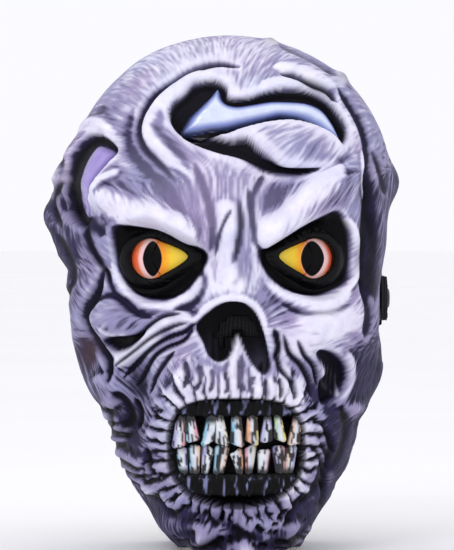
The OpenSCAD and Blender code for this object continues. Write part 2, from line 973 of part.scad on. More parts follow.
latex_jaw();
latex_face();
latex_crown();
left_eye_lens();
right_eye_lens();
left_lens_rim();
right_lens_rim();
upper_gum();
lower_gum();
upper_teeth();
lower_teeth();
mouth_scrim();
nose_scrim();
forehead_bone();
temple_bone();
brow_pad();
crown_pad();
left_cheek_pad();
right_cheek_pad();
chin_pad();
left_anchor_patch();
right_anchor_patch();
left_rivet();
right_rivet();
left_washer();
right_washer();
right_spacer();
strap_band();
strap_return();
left_eyelet();
right_eyelet();
right_tab();
strap_ring();
strap_stitching();
strap_slider();
return_loop();
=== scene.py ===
"""Looks of a three-quarter latex horror mask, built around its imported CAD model.

Metres in Blender. Shapes are worked out in millimetres in the head's own frame, whose y is
measured from the head's widest section. The face looks towards -Y and +Z is up.
"""
import math
import bpy
import numpy as np
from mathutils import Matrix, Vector


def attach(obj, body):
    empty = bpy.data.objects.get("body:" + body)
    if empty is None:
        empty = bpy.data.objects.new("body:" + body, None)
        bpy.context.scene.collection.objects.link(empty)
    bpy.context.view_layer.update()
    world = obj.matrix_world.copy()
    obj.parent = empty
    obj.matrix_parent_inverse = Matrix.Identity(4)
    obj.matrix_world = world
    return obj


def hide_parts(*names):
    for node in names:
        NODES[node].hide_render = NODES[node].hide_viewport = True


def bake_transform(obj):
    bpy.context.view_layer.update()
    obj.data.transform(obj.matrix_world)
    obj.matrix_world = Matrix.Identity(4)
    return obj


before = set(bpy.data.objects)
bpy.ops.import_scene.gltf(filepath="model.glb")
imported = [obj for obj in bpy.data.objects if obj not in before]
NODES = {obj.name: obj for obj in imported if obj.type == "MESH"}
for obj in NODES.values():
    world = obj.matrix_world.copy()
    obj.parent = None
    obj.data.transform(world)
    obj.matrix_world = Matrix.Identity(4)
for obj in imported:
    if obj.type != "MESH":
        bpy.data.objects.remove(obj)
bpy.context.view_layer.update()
MM = 0.001
SECTION_Y = -16.0

# ------------------------------------------------------------------ small maths


def ease(v):
    t = np.clip(v, 0, 1)
    return t * t * (3 - 2 * t)


def bell(d):
    return np.exp(-d * d)


def power(v, p):
    return np.sign(v) * np.abs(v) ** p


def unit(v):
    return v / np.maximum(np.linalg.norm(v, axis=-1, keepdims=True), 1e-12)


def linear(rgb):
    """sRGB to the linear values that Blender's shaders take."""
    c = np.asarray(rgb, float)
    return np.where(c <= 0.04045, c / 12.92, ((c + 0.055) / 1.055) ** 2.4)


def rgba(r, g, b):
    return (*[float(v) for v in linear((r, g, b))], 1.0)


NOISE_PRIMES = (73856093, 19349663, 83492791)


def value_noise(p):
    """Smooth noise from -1 to 1 at each of the points p."""
    cell = np.floor(p).astype(np.int64)
    f = p - cell
    f = f * f * (3 - 2 * f)
    out = np.zeros(p.shape[:-1])
    for corner in np.ndindex(2, 2, 2):
        x, y, z = ((cell[..., k] + corner[k]) * NOISE_PRIMES[k] for k in range(3))
        h = x ^ y ^ z
        h = (h ^ (h >> 13)) * 1274126177
        h = ((h ^ (h >> 16)) & 0xFFFF) / 32767.5 - 1
        for k in range(3):
            h = h * (f[..., k] if corner[k] else 1 - f[..., k])
        out += h
    return out


def blur(a, si, sj):
    """Gaussian blur of a grid, with its own spread along rows and columns."""
    for axis, s in ((0, si), (1, sj)):
        r = max(1, int(round(2.5 * s)))
        k = np.exp(-0.5 * (np.arange(-r, r + 1) / s) ** 2)
        k /= k.sum()
        pad = [(0, 0)] * a.ndim
        pad[axis] = (r, r)
        b = np.pad(a, pad, mode="edge")
        n = a.shape[axis]
        a = sum(w * np.take(b, range(m, m + n), axis=axis) for m, w in enumerate(k))
    return a


# ------------------------------------------------------------------ the head's law (as in CAD)

HEAD_H, CROWN_Z = 287.0, 205.0
SKULL_HALF_W, FACE_DEPTH, SKULL_DEPTH = 88.0, 92.0, 106.0
SQUARENESS, SIDE_BIAS, JAW_LEAN = 2.3, 3.0, 9.0
WALL = 2.6
EDGE_Y, ARCH_START_Z, ARCH_TOP_Z = 50.0, 118.0, 182.0
RIVET_Y, RIVET_Z = 30.0, 139.0
PUPIL_X, PUPIL_Z, EYE_Y, EYE_TURN = 44.0, 161.5, -70.0, 16.0
LENS_R, LENS_TIP = 11.4, 21.8
EYE_LIFT, TIP_DROP = 1.5, 4  # millimetres above the CAD lens; degrees


def closing(z):
    return np.sqrt(np.maximum(0, 1 - ((z - CROWN_Z) / (HEAD_H - CROWN_Z)) ** 2))


def level(z, size, shrink):
    low = size * (1 - shrink * (np.maximum(CROWN_Z - z, 0) / CROWN_Z) ** 3)
    return np.where(z > CROWN_Z, size * closing(z), low)


def ridge_of(x, z, x1, z1, x2, z2, spread, height):
    dx, dz = x2 - x1, z2 - z1
    t = np.clip(((x - x1) * dx + (z - z1) * dz) / (dx * dx + dz * dz), 0, 1)
    return height * bell(np.hypot(x - x1 - t * dx, z - z1 - t * dz) / spread)


def swell(x, z, cx, cz, rx, rz, height):
    return height * bell((x - cx) / rx) * bell((z - cz) / rz)


def relief(x, z):
    return (ridge_of(x, z, -73, 200, -18, 175, 9, 9) + ridge_of(x, z, 67, 210, 17, 174, 9, 9)
            + swell(x, z, -PUPIL_X, PUPIL_Z - 2, 21, 15, -15)
            + swell(x, z, PUPIL_X, PUPIL_Z - 2, 21, 15, -15)
            + ridge_of(x, z, 0, 178, 1, 146, 9, 6) + swell(x, z, 1, 116, 34, 24, 6)
            + swell(x, z, 2, 58, 44, 38, 8) + swell(x, z, 2, 38, 44, 22, 5)
            + swell(x, z, 2, 118, 15, 15, -11)
            + swell(x, z, -46, 124, 17, 13, 8) + swell(x, z, 46, 124, 17, 13, 8)
            + swell(x, z, -52, 92, 13, 22, -7) + swell(x, z, 54, 96, 12, 18, -7)
            + ridge_of(x, z, -25, 234, 58, 240, 10, -4) + ridge_of(x, z, 10, 216, 54, 226, 10, 5)
            + ridge_of(x, z, -46, 222, -24, 258, 9, 4) + swell(x, z, 6, 14, 26, 12, 4))


def side_relief(x, y, z):
    left = (16 * bell((y - 18) / 28) * bell((z - 187) / 15) - 8 * bell((z - 76) / 15)
            - 4.5 * bell((y - RIVET_Y) / 26) * bell((z - RIVET_Z) / 26))
    right = (10 * bell((y - 18) / 28) * bell((z - 205) / 15)
             + 8 * bell((y - 2) / 28) * bell((z - 97) / 17)
             - bell((y - RIVET_Y) / 26) * bell((z - RIVET_Z) / 26))
    return np.where(x < 0, left, right)


def head_point(angle, z):
    """Outer surface at an angle in degrees (0 is the front) and a height."""
    a = np.radians(angle)
    sx, sy = power(np.sin(a), 2 / SQUARENESS), power(-np.cos(a), 2 / SQUARENESS)
    lean = SIDE_BIAS * np.abs(sx) + JAW_LEAN * sx * sx * ease((90 - z) / 50)
    x = level(z, SKULL_HALF_W, 0.56) * sx + lean
    y = np.where(sy < 0, level(z, FACE_DEPTH, 0.2), level(z, SKULL_DEPTH, 0.3)) * sy
    face = ease(np.maximum(np.cos(a), 0) / 0.45)
    fade = ease((HEAD_H - z) / 40)
    return np.stack([x + sx * np.abs(sx) * side_relief(x, y, z) * fade,
                     y - relief(x, z) * face * fade, z + 0 * x], axis=-1)


def head_normal(angle, z):
    across = head_point(angle + 1.5, z) - head_point(angle - 1.5, z)
    up = (head_point(angle, np.minimum(z + 1.5, HEAD_H - 0.2))
          - head_point(angle, np.minimum(z - 1.5, HEAD_H - 3.2)))
    return unit(np.cross(across, up))


def edge_angle(z):
    rise = np.clip((z - ARCH_START_Z) / (ARCH_TOP_Z - ARCH_START_Z), 0, 1)
    back = level(z, SKULL_DEPTH, 0.3)
    reach = back - (back - EDGE_Y) * np.sqrt(1 - rise * rise)
    return 90 + np.degrees(np.arcsin((reach / back) ** (SQUARENESS / 2)))


# ------------------------------------------------------------------ meshes and materials


def to_row(p):
    """Head frame in millimetres to the shared frame in metres."""
    q = np.array(p, float)
    q[..., 1] += SECTION_Y
    return q * MM


def new_mesh(name, verts, faces, materials, body="mask", face_material=None):
    """A piece from vertices in millimetres in the head's frame."""
    mesh = bpy.data.meshes.new(name)
    mesh.from_pydata(to_row(verts).tolist(), [], faces)
    for m in materials:
        mesh.materials.append(m)
    mesh.polygons.foreach_set("use_smooth", [True] * len(mesh.polygons))
    if face_material is not None:
        mesh.polygons.foreach_set("material_index", np.asarray(face_material, np.int32))
    mesh.update()
    obj = bpy.data.objects.new(name, mesh)
    bpy.context.scene.collection.objects.link(obj)
    if body:
        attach(obj, body)
    return obj


def closed_grid(front, back):
    """Faces and points of a closed solid between two grids of the same size."""
    rows, cols = front.shape[:2]
    n = rows * cols
    faces = []
    for i in range(rows - 1):
        for j in range(cols - 1):
            a = i * cols + j
            faces.append((a, a + 1, a + cols + 1, a + cols))
            faces.append((a + n, a + n + cols, a + n + cols + 1, a + n + 1))
    edge = ([j for j in range(cols)] + [i * cols + cols - 1 for i in range(1, rows)]
            + [n - 1 - j for j in range(1, cols)]
            + [(rows - 1 - i) * cols for i in range(1, rows - 1)])
    for k, a in enumerate(edge):
        b = edge[(k + 1) % len(edge)]
        faces.append((b, a, a + n, b + n))
    return np.vstack([front.reshape(-1, 3), back.reshape(-1, 3)]), faces


def ring_faces(lines, length, closed=False):
    """Faces of a tube of so many lines of points; closed joins its ends, else they are capped."""
    faces = [(a * length + b, a * length + (b + 1) % length,
              (a + 1) % lines * length + (b + 1) % length, (a + 1) % lines * length + b)
             for a in range(lines) for b in range(length if closed else length - 1)]
    if not closed:
        faces += [tuple(a * length for a in range(lines))[::-1],
                  tuple((a + 1) * length - 1 for a in range(lines))]
    return faces


def set_colour(obj, name, values):
    attr = obj.data.attributes.new(name, "FLOAT_COLOR", "POINT")
    flat = np.ones((len(values), 4), np.float32)
    flat[:, :3] = values
    attr.data.foreach_set("color", flat.ravel())


def set_number(obj, name, values):
    attr = obj.data.attributes.new(name, "FLOAT", "POINT")
    attr.data.foreach_set("value", np.asarray(values, np.float32))


class Shader:
    """A material whose nodes are added one line at a time."""

    def __init__(self, name):
        self.mat = bpy.data.materials.new(name)
        self.mat.use_nodes = True
        self.tree = self.mat.node_tree
        self.bsdf = self.tree.nodes["Principled BSDF"]

    def node(self, kind, **props):
        n = self.tree.nodes.new(kind)
        for k, v in props.items():
            if k == "inputs":
                for key, val in v.items():
                    self.put(val, n.inputs[key])
            else:
                setattr(n, k, v)
        return n

    def link(self, a, b):
        self.tree.links.new(a, b)

    def put(self, value, socket):
        """A value, or what another node gives, on a socket."""
        if hasattr(value, "links"):
            self.link(value, socket)
        else:
            socket.default_value = value

    def set(self, **values):
        for k, v in values.items():
            self.bsdf.inputs[k.replace("_", " ")].default_value = v

    def math(self, op, a, b=0.0):
        return self.node("ShaderNodeMath", operation=op, inputs={0: a, 1: b}).outputs[0]

    def mix(self, fac, a, b, blend="MIX"):
        n = self.node("ShaderNodeMix", data_type="RGBA", blend_type=blend)
        for key, val in ((0, fac), (6, a), (7, b)):
            self.put(val, n.inputs[key])
        return n.outputs[2]

    def noise(self, scale, detail=3.0, rough=0.55):
        n = self.node("ShaderNodeTexNoise", inputs={"Scale": scale, "Detail": detail,
                                                   "Roughness": rough})
        self.link(self.position(), n.inputs["Vector"])
        return n.outputs["Fac"]

    def position(self):
        if not hasattr(self, "_pos"):
            self._pos = self.node("ShaderNodeTexCoord").outputs["Object"]
        return self._pos

    def ramp(self, fac, stops):
        n = self.node("ShaderNodeValToRGB")
        e = n.color_ramp.elements
        while len(e) < len(stops):
            e.new(0.5)
        for k, (pos, col) in enumerate(stops):
            e[k].position = pos
            e[k].color = col
        self.link(fac, n.inputs[0])
        return n.outputs[0]

    def bump(self, height, distance, strength=1.0, under=None):
        n = self.node("ShaderNodeBump", inputs={"Strength": strength, "Distance": distance,
                                               "Height": height})
        if under is not None:
            self.link(under, n.inputs["Normal"])
        return n.outputs[0]

    def normal(self, socket):
        self.link(socket, self.bsdf.inputs["Normal"])

    def colour(self, socket):
        self.link(socket, self.bsdf.inputs["Base Color"])

    def roughness(self, socket):
        self.link(socket, self.bsdf.inputs["Roughness"])

    def attribute(self, name):
        return self.node("ShaderNodeAttribute", attribute_name=name)


def remap(s, value, lo, hi, out_lo, out_hi):
    n = s.node("ShaderNodeMapRange", inputs={"From Min": lo, "From Max": hi,
                                            "To Min": out_lo, "To Max": out_hi})
    s.link(value, n.inputs["Value"])
    return n.outputs[0]


def skin_material():
    s = Shader("painted_latex")
    paint = s.attribute("paint").outputs["Color"]
    mottle = s.noise(90, 4, 0.6)
    fine = s.noise(700, 3, 0.6)
    tone = s.mix(remap(s, mottle, 0.3, 0.7, 0, 1), rgba(0.90, 0.90, 0.93), rgba(1, 1, 1))
    s.colour(s.mix(1.0, paint, tone, "MULTIPLY"))
    gloss = s.attribute("gloss").outputs["Fac"]
    rough = s.math("SUBTRACT", remap(s, mottle, 0.3, 0.7, 0.58, 0.46),
                   s.math("MULTIPLY", gloss, 0.28))
    s.roughness(rough)
    pores = s.bump(fine, 0.0006, 0.35)
    s.normal(s.bump(s.noise(260, 4, 0.65), 0.0009, 0.3, pores))
    s.set(Specular_IOR_Level=0.07, Subsurface_Weight=0.04, Subsurface_Scale=0.002)
    return s.mat


def raw_latex_material():
    s = Shader("raw_latex")
    blotch = s.noise(45, 4, 0.6)
    s.colour(s.ramp(blotch, [(0.3, rgba(0.80, 0.72, 0.55)), (0.55, rgba(0.89, 0.83, 0.68)),
                             (0.75, rgba(0.93, 0.88, 0.76))]))
    s.roughness(remap(s, blotch, 0.3, 0.7, 0.62, 0.75))
    s.normal(s.bump(s.noise(420, 4, 0.6), 0.0008, 0.45))
    s.set(Subsurface_Weight=0.08, Subsurface_Scale=0.003)
    return s.mat


def rubber_material(name, shade=0.035, rough=0.42):
    s = Shader(name)
    n = s.noise(320, 4, 0.6)
    s.colour(s.ramp(n, [(0.3, rgba(shade, shade, shade * 1.3)),
                        (0.7, rgba(shade * 2.2, shade * 2.2, shade * 2.6))]))
    s.roughness(remap(s, n, 0.3, 0.7, rough - 0.07, rough + 0.1))
    s.set(Specular_IOR_Level=0.12)
    s.normal(s.bump(n, 0.0005, 0.35))
    return s.mat


def metal_material(name, low, high, rough):
    s = Shader(name)
    grain = s.noise(500, 4, 0.6)
    s.colour(s.ramp(s.noise(160, 5, 0.65), [(0.35, rgba(*low)), (0.65, rgba(*high))]))
    s.roughness(remap(s, grain, 0.3, 0.7, rough - 0.06, rough + 0.1))
    s.normal(s.bump(grain, 0.0002, 0.25))
    s.set(Metallic=1.0)
    return s.mat


def weave_material(name, warp, weft, pitch_u, pitch_v):
    """Woven cloth, from how far along and across it a point lies, in millimetres."""
    s = Shader(name)
    u = s.attribute("along").outputs["Fac"]
    v = s.attribute("wide").outputs["Fac"]

    def wave(coord, pitch):
        return s.math("SINE", s.math("MULTIPLY", coord, 2 * math.pi / pitch))

    over = s.math("MULTIPLY", wave(u, 2 * pitch_u), wave(v, 2 * pitch_v))
    threads = s.math("ABSOLUTE", wave(v, 2 * pitch_v))
    picks = s.math("ABSOLUTE", wave(u, 2 * pitch_u))
    height = s.math("ADD", s.math("MULTIPLY", over, 0.35), s.math("MULTIPLY", threads, picks))
    fuzz = s.noise(900, 3, 0.6)
    fac = s.math("ADD", remap(s, height, -0.35, 1.3, 0, 1), s.math("MULTIPLY", fuzz, 0.25))
    s.colour(s.ramp(fac, [(0.15, rgba(*warp)), (0.95, rgba(*weft))]))
    s.set(Roughness=0.85, Sheen_Weight=0.25)
    s.normal(s.bump(height, 0.0004, 0.8, s.bump(fuzz, 0.0003, 0.4)))
    return s.mat


def foam_material():
    s = Shader("open_cell_foam")
    cells = s.node("ShaderNodeTexVoronoi", inputs={"Scale": 850.0})
    s.link(s.position(), cells.inputs["Vector"])
    dist = cells.outputs["Distance"]
    tint = s.mix(remap(s, dist, 0.1, 0.7, 0, 1), rgba(0.14, 0.14, 0.15), rgba(0.34, 0.34, 0.36))
    s.colour(s.mix(remap(s, s.noise(60, 3), 0.35, 0.65, 0, 0.35), tint, rgba(0.24, 0.23, 0.26)))
    s.set(Roughness=0.95, Sheen_Weight=0.2)
    s.normal(s.bump(dist, 0.0007, 0.8))
    return s.mat


# ------------------------------------------------------------------ camera, floor and light

AZIMUTH, ELEVATION, DISTANCE = math.radians(-4), math.radians(1), 2.4
FRAME_HEIGHT, SENSOR = 0.308, 36  # metres of the object that the picture's height shows
CAMERA_TARGET = Vector((0.0017, -0.020, 0.1529))
LOOK = Vector((-math.sin(AZIMUTH) * math.cos(ELEVATION), math.cos(AZIMUTH) * math.cos(ELEVATION),
               -math.sin(ELEVATION)))


def make_camera():
    data = bpy.data.cameras.new("camera")
    data.sensor_width = SENSOR
    data.lens = SENSOR * DISTANCE / FRAME_HEIGHT
    cam = bpy.data.objects.new("camera", data)
    bpy.context.scene.collection.objects.link(cam)
    cam.location = CAMERA_TARGET - LOOK * DISTANCE
    cam.rotation_euler = LOOK.to_track_quat("-Z", "Y").to_euler()
    bpy.context.scene.camera = cam


LIGHT_AIM = (0, -0.03, 0.15)


def area_light(name, place, size, watts):
    data = bpy.data.lights.new(name, "AREA")
    data.shape = "RECTANGLE"
    data.size, data.size_y = size
    data.energy = watts
    obj = bpy.data.objects.new(name, data)
    bpy.context.scene.collection.objects.link(obj)
    obj.location = place
    obj.rotation_euler = (Vector(LIGHT_AIM) - Vector(place)).to_track_quat("-Z", "Y").to_euler()


def make_stage():
    """An open round floor, so that the object has the same plain surroundings from every side."""
    rings, spokes = (0.0, 0.25, 0.6, 1.2, 2.5, 5.0, 9.0, 14.0), 48
    verts = [(r * math.cos(2 * math.pi * k / spokes), r * math.sin(2 * math.pi * k / spokes), 0.0)
             for r in rings[1:] for k in range(spokes)] + [(0.0, 0.0, 0.0)]
    faces = [(len(verts) - 1, k, (k + 1) % spokes) for k in range(spokes)]
    for i in range(len(rings) - 2):
        for k in range(spokes):
            q, e = i * spokes + k, i * spokes + (k + 1) % spokes
            faces.append((q, q + spokes, e + spokes, e))
    mesh = bpy.data.meshes.new("floor")
    mesh.from_pydata(verts, [], faces)
    s = Shader("pale_floor")
    s.colour(s.ramp(s.noise(3, 2), [(0.3, rgba(0.975, 0.975, 0.98)),
                                    (0.7, rgba(0.985, 0.985, 0.99))]))
    s.set(Roughness=0.9, Specular_IOR_Level=0.1)
    mesh.materials.append(s.mat)
    obj = bpy.data.objects.new("floor", mesh)
    bpy.context.scene.collection.objects.link(obj)


make_camera()
make_stage()
area_light("key", (-0.75, -1.6, 1.35), (0.6, 0.6), 9)
area_light("fill", (1.3, -1.2, 0.6), (1.0, 1.2), 1.5)
world = bpy.data.worlds.new("studio")
world.use_nodes = True
world.node_tree.nodes["Background"].inputs[0].default_value = rgba(0.985, 0.985, 1.0)
world.node_tree.nodes["Background"].inputs[1].default_value = 1.0
bpy.context.scene.world = world
bpy.context.scene.view_settings.view_transform = "Standard"

# ------------------------------------------------------------------ the skin's fine grid

COLUMNS = 480
FACE_ANGLE, FACE_SHARE = 100.0, 0.72
ARCH_ROWS, CROWN_ROWS, TOP_ROWS = 213, 27, 144
ARCH_RUN = 78  # millimetres of rear edge along the arch
COARSE = 3  # the inner surface has every third row and column of the outer one
FACE_LIMIT = 112  # degrees from the front, as far as the face's own marks reach


def skin_grid():
    """Angles and heights of the grid: open below the arch, closed rings from there up."""
    across = 2 * np.arange(COLUMNS + 1) / COLUMNS - 1
    t, side = np.abs(across), np.sign(across)
    k = np.arange(ARCH_ROWS + 1) / ARCH_ROWS
    straight = ARCH_TOP_Z * k
    start = ARCH_START_Z / (ARCH_START_Z + ARCH_RUN)
    arched = np.where(k < start, ARCH_START_Z * k / start,
                      ARCH_START_Z + (ARCH_TOP_Z - ARCH_START_Z)
                      * np.sin(np.pi / 2 * np.clip((k - start) / (1 - start), 0, 1)))
    w = ease((t - 0.55) / 0.4)
    z_low = straight[:, None] * (1 - w) + arched[:, None] * w
    z_mid = ARCH_TOP_Z + (CROWN_Z - ARCH_TOP_Z) * np.arange(1, CROWN_ROWS + 1) / CROWN_ROWS
    tilt = np.radians(90 * np.arange(1, TOP_ROWS) / TOP_ROWS)
    z_top = CROWN_Z + (HEAD_H - CROWN_Z) * np.sin(tilt)
    z = np.vstack([z_low, np.repeat(np.r_[z_mid, z_top][:, None], COLUMNS + 1, axis=1)])
    last = np.where(np.arange(len(z))[:, None] >= ARCH_ROWS, 180.0, edge_angle(z))
    angle = np.where(t < FACE_SHARE, FACE_ANGLE * t / FACE_SHARE,
                     FACE_ANGLE + (last - FACE_ANGLE) * (t - FACE_SHARE) / (1 - FACE_SHARE))
    return side * angle, z


# how far the moulding's sides lie outside (+) or inside (-) the plain law, height by height
RIGHT_TRIM = [(0, -10), (13, -11), (30, -9.5), (38, -11), (46, -9), (55, -8.4), (63, -6.7),
              (72, -6), (80, -3), (97, -3.5), (105, -2.5), (114, -1), (147, -3), (156, -2),
              (170, 0), (206, 0.5), (231, 2), (265, 2), (281, 1.5)]
LEFT_TRIM = [(0, -3), (13, 0), (21, -1), (38, 2.8), (46, 3.9), (59, 1.5), (72, 3.4), (84, 4.5),
             (97, 2.8), (131, 1.8), (139, 2.4), (147, 4.6), (156, 3.6), (164, 8.6), (172, 9.2),
             (181, 7.9), (189, 1.9), (190, 1.9), (197, 4.3), (198, 4.7), (206, 9.4), (214, 6.8),
             (222, 4.2), (223, 4), (231, 0.5), (248, 0.4), (265, 0), (281, 4)]


def fitted(p):
    """A point of the plain law moved sideways to the moulding's true outline."""
    right, left = (np.interp(p[..., 2], *zip(*trim)) for trim in (RIGHT_TRIM, LEFT_TRIM))
    front = np.maximum(ease((22 - p[..., 1]) / 34), ease((96 - p[..., 2]) / 20))
    seat = bell((p[..., 1] - RIVET_Y) / 26) * bell((p[..., 2] - RIVET_Z) / 24)
    x = p[..., 0]
    move = right * ease((x - 8) / 60) - left * ease((-x - 8) / 60)
    q = p.copy()
    q[..., 0] = x + move * front * (1 - seat)
    return q


ANGLE, Z = skin_grid()
TURN = np.abs(ANGLE)  # degrees from the front
BASE = fitted(head_point(ANGLE, Z))
NORMAL = head_normal(ANGLE, Z)
NORMAL[HEAD_H - Z < 0.6] = (0.0, 0.0, 1.0)
VIEW = np.array([-math.sin(AZIMUTH), math.cos(AZIMUTH)])
U_SHIFT = 2.5
# U is the place across the front view, and FACING says how far the surface looks that way
U = BASE[..., 0] * math.cos(AZIMUTH) + BASE[..., 1] * math.sin(AZIMUTH) + U_SHIFT
FACING = ease((-(NORMAL[..., :2] @ VIEW) + 0.02) / 0.2) * (TURN < FACE_LIMIT)
SHAPE = U.shape
# what the marks add up to: relief, dark wash, light (+) or dark (-) dry brush together with painted
# shade and light, gloss and tint
RISE, WASH, DRY_BRUSH_AND_SHADE, GLOSS, TINT_W = (np.zeros(SHAPE) for _ in range(5))
TINT = np.zeros(SHAPE + (3,))


def through(q, step):
    """Smooth curve from the second of the points q to the last but one."""
    out = []
    for a, b, c, d in zip(q, q[1:], q[2:], q[3:]):
        n = max(2, int(np.linalg.norm(c - b) / step))
        t = np.linspace(0, 1, n, endpoint=False)[:, None]
        out.append(0.5 * (2 * b + (c - a) * t + (2 * a - 5 * b + 4 * c - d) * t ** 2
                          + (3 * b - a - 3 * c + d) * t ** 3))
    return np.vstack(out)


def spline(points, step=2.0):
    """Smooth curve through the points, with a point about every step."""
    p = np.asarray(points, float)
    if len(p) < 3:
        n = max(2, int(np.linalg.norm(p[-1] - p[0]) / step))
        return p[0] + (p[-1] - p[0]) * np.linspace(0, 1, n)[:, None]
    return np.vstack([through(np.vstack([2 * p[0] - p[1], p, 2 * p[-1] - p[-2]]), step), p[-1:]])


def near_line(cu, cz, line):
    """Distance to a line of points, and how far along it the nearest point is, 0 to 1."""
    best = np.full(cu.shape, 1e9)
    place = np.zeros(cu.shape)
    seg = np.linalg.norm(np.diff(line, axis=0), axis=1)
    total = max(seg.sum(), 1e-9)
    done = 0.0
    for k in range(len(line) - 1):
        a, d = line[k], line[k + 1] - line[k]
        t = np.clip(((cu - a[0]) * d[0] + (cz - a[1]) * d[1]) / max(d @ d, 1e-9), 0, 1)
        dist = np.hypot(cu - a[0] - t * d[0], cz - a[1] - t * d[1])
        m = dist < best
        best[m] = dist[m]
        place[m] = (done + t[m] * seg[k]) / total
        done += seg[k]
    return best, place


def region(cu, cz, lo, hi, margin):
    return np.nonzero((cu > lo[0] - margin) & (cu < hi[0] + margin)
                      & (cz > lo[1] - margin) & (cz < hi[1] + margin))


MARK_REACH = 2.6  # a mark fades out at so many times its width
STROKE_TAPER = 0.6


def lay(sel, height, wash, brush_and_shade, gloss, tint, g, painted=None):
    """Adds one mark: relief by the weight g, paint by its own weight or else by g."""
    p = g if painted is None else painted
    RISE[sel] += height * g
    WASH[sel] = np.maximum(WASH[sel], wash * p)
    DRY_BRUSH_AND_SHADE[sel] += brush_and_shade * p
    GLOSS[sel] = np.maximum(GLOSS[sel], gloss * p)
    if tint is not None:
        total = np.maximum(TINT_W[sel], p)
        mix = np.where(total > 0, p / np.maximum(TINT_W[sel] + p, 1e-6), 0)[..., None]
        TINT[sel] = TINT[sel] * (1 - mix) + linear(tint) * mix
        TINT_W[sel] = total


def stroke(points, width, height=0.0, wash=0.0, brush_and_shade=0.0, coords=None, weight=None):
    """A ridge (height over 0) or groove along a line, painted as it goes."""
    cu, cz = coords or (U, Z)
    weight = FACING if weight is None else weight
    line = spline(points)
    sel = region(cu, cz, line.min(0), line.max(0), MARK_REACH * width)
    if not len(sel[0]):
        return
    d, t = near_line(cu[sel], cz[sel], line)
    end = np.clip(np.minimum(t, 1 - t) / 0.22, 0, 1)
    w = width * (1 - STROKE_TAPER * (1 - end) ** 2)
    lay(sel, height, wash, brush_and_shade, 0.0, None,
        bell(d / w) * (1 - 0.75 * (1 - end) ** 3) * weight[sel])


def blob(u, z, ru, rz, height=0.0, wash=0.0, brush_and_shade=0.0, turn=0.0, tint=None):
    """A round or oval mark, turned in degrees."""
    sel = region(U, Z, (u, z), (u, z), MARK_REACH * max(ru, rz))
    if not len(sel[0]):
        return
    c, s = math.cos(math.radians(turn)), math.sin(math.radians(turn))
    a = ((U[sel] - u) * c + (Z[sel] - z) * s) / ru
    b = (-(U[sel] - u) * s + (Z[sel] - z) * c) / rz
    lay(sel, height, wash, brush_and_shade, 0.0, tint, np.exp(-(a * a + b * b)) * FACING[sel])


def inside_distance(cu, cz, corners):
    """Distance inside a closed outline, negative outside it."""
    ring = np.vstack([corners, corners[:1]])
    d, _ = near_line(cu, cz, ring)
    inside = np.zeros(cu.shape, bool)
    for k in range(len(ring) - 1):
        (x1, y1), (x2, y2) = ring[k], ring[k + 1]
        if y1 == y2:
            continue
        hit = ((y1 > cz) != (y2 > cz)) & (cu < (x2 - x1) * (cz - y1) / (y2 - y1) + x1)
        inside ^= hit
    return np.where(inside, d, -d)


def closed_spline(corners, step=1.5):
    p = np.asarray(corners, float)
    return through(np.vstack([p[-1:], p, p[:2]]), step)


def patch(corners, height, soft, wash=0.0, brush_and_shade=0.0, gloss=0.0, paint_soft=None):
    """A raised or sunk area with an outline. Soft is half the width of its wall."""
    ring = closed_spline(corners)
    sel = region(U, Z, ring.min(0), ring.max(0), 3 * soft + 2)
    d = inside_distance(U[sel], Z[sel], ring)
    g, painted = (ease(d / (2 * width) + 0.5) * FACING[sel]
                  for width in (soft, paint_soft or soft))
    lay(sel, height, wash, brush_and_shade, gloss, None, g, painted)


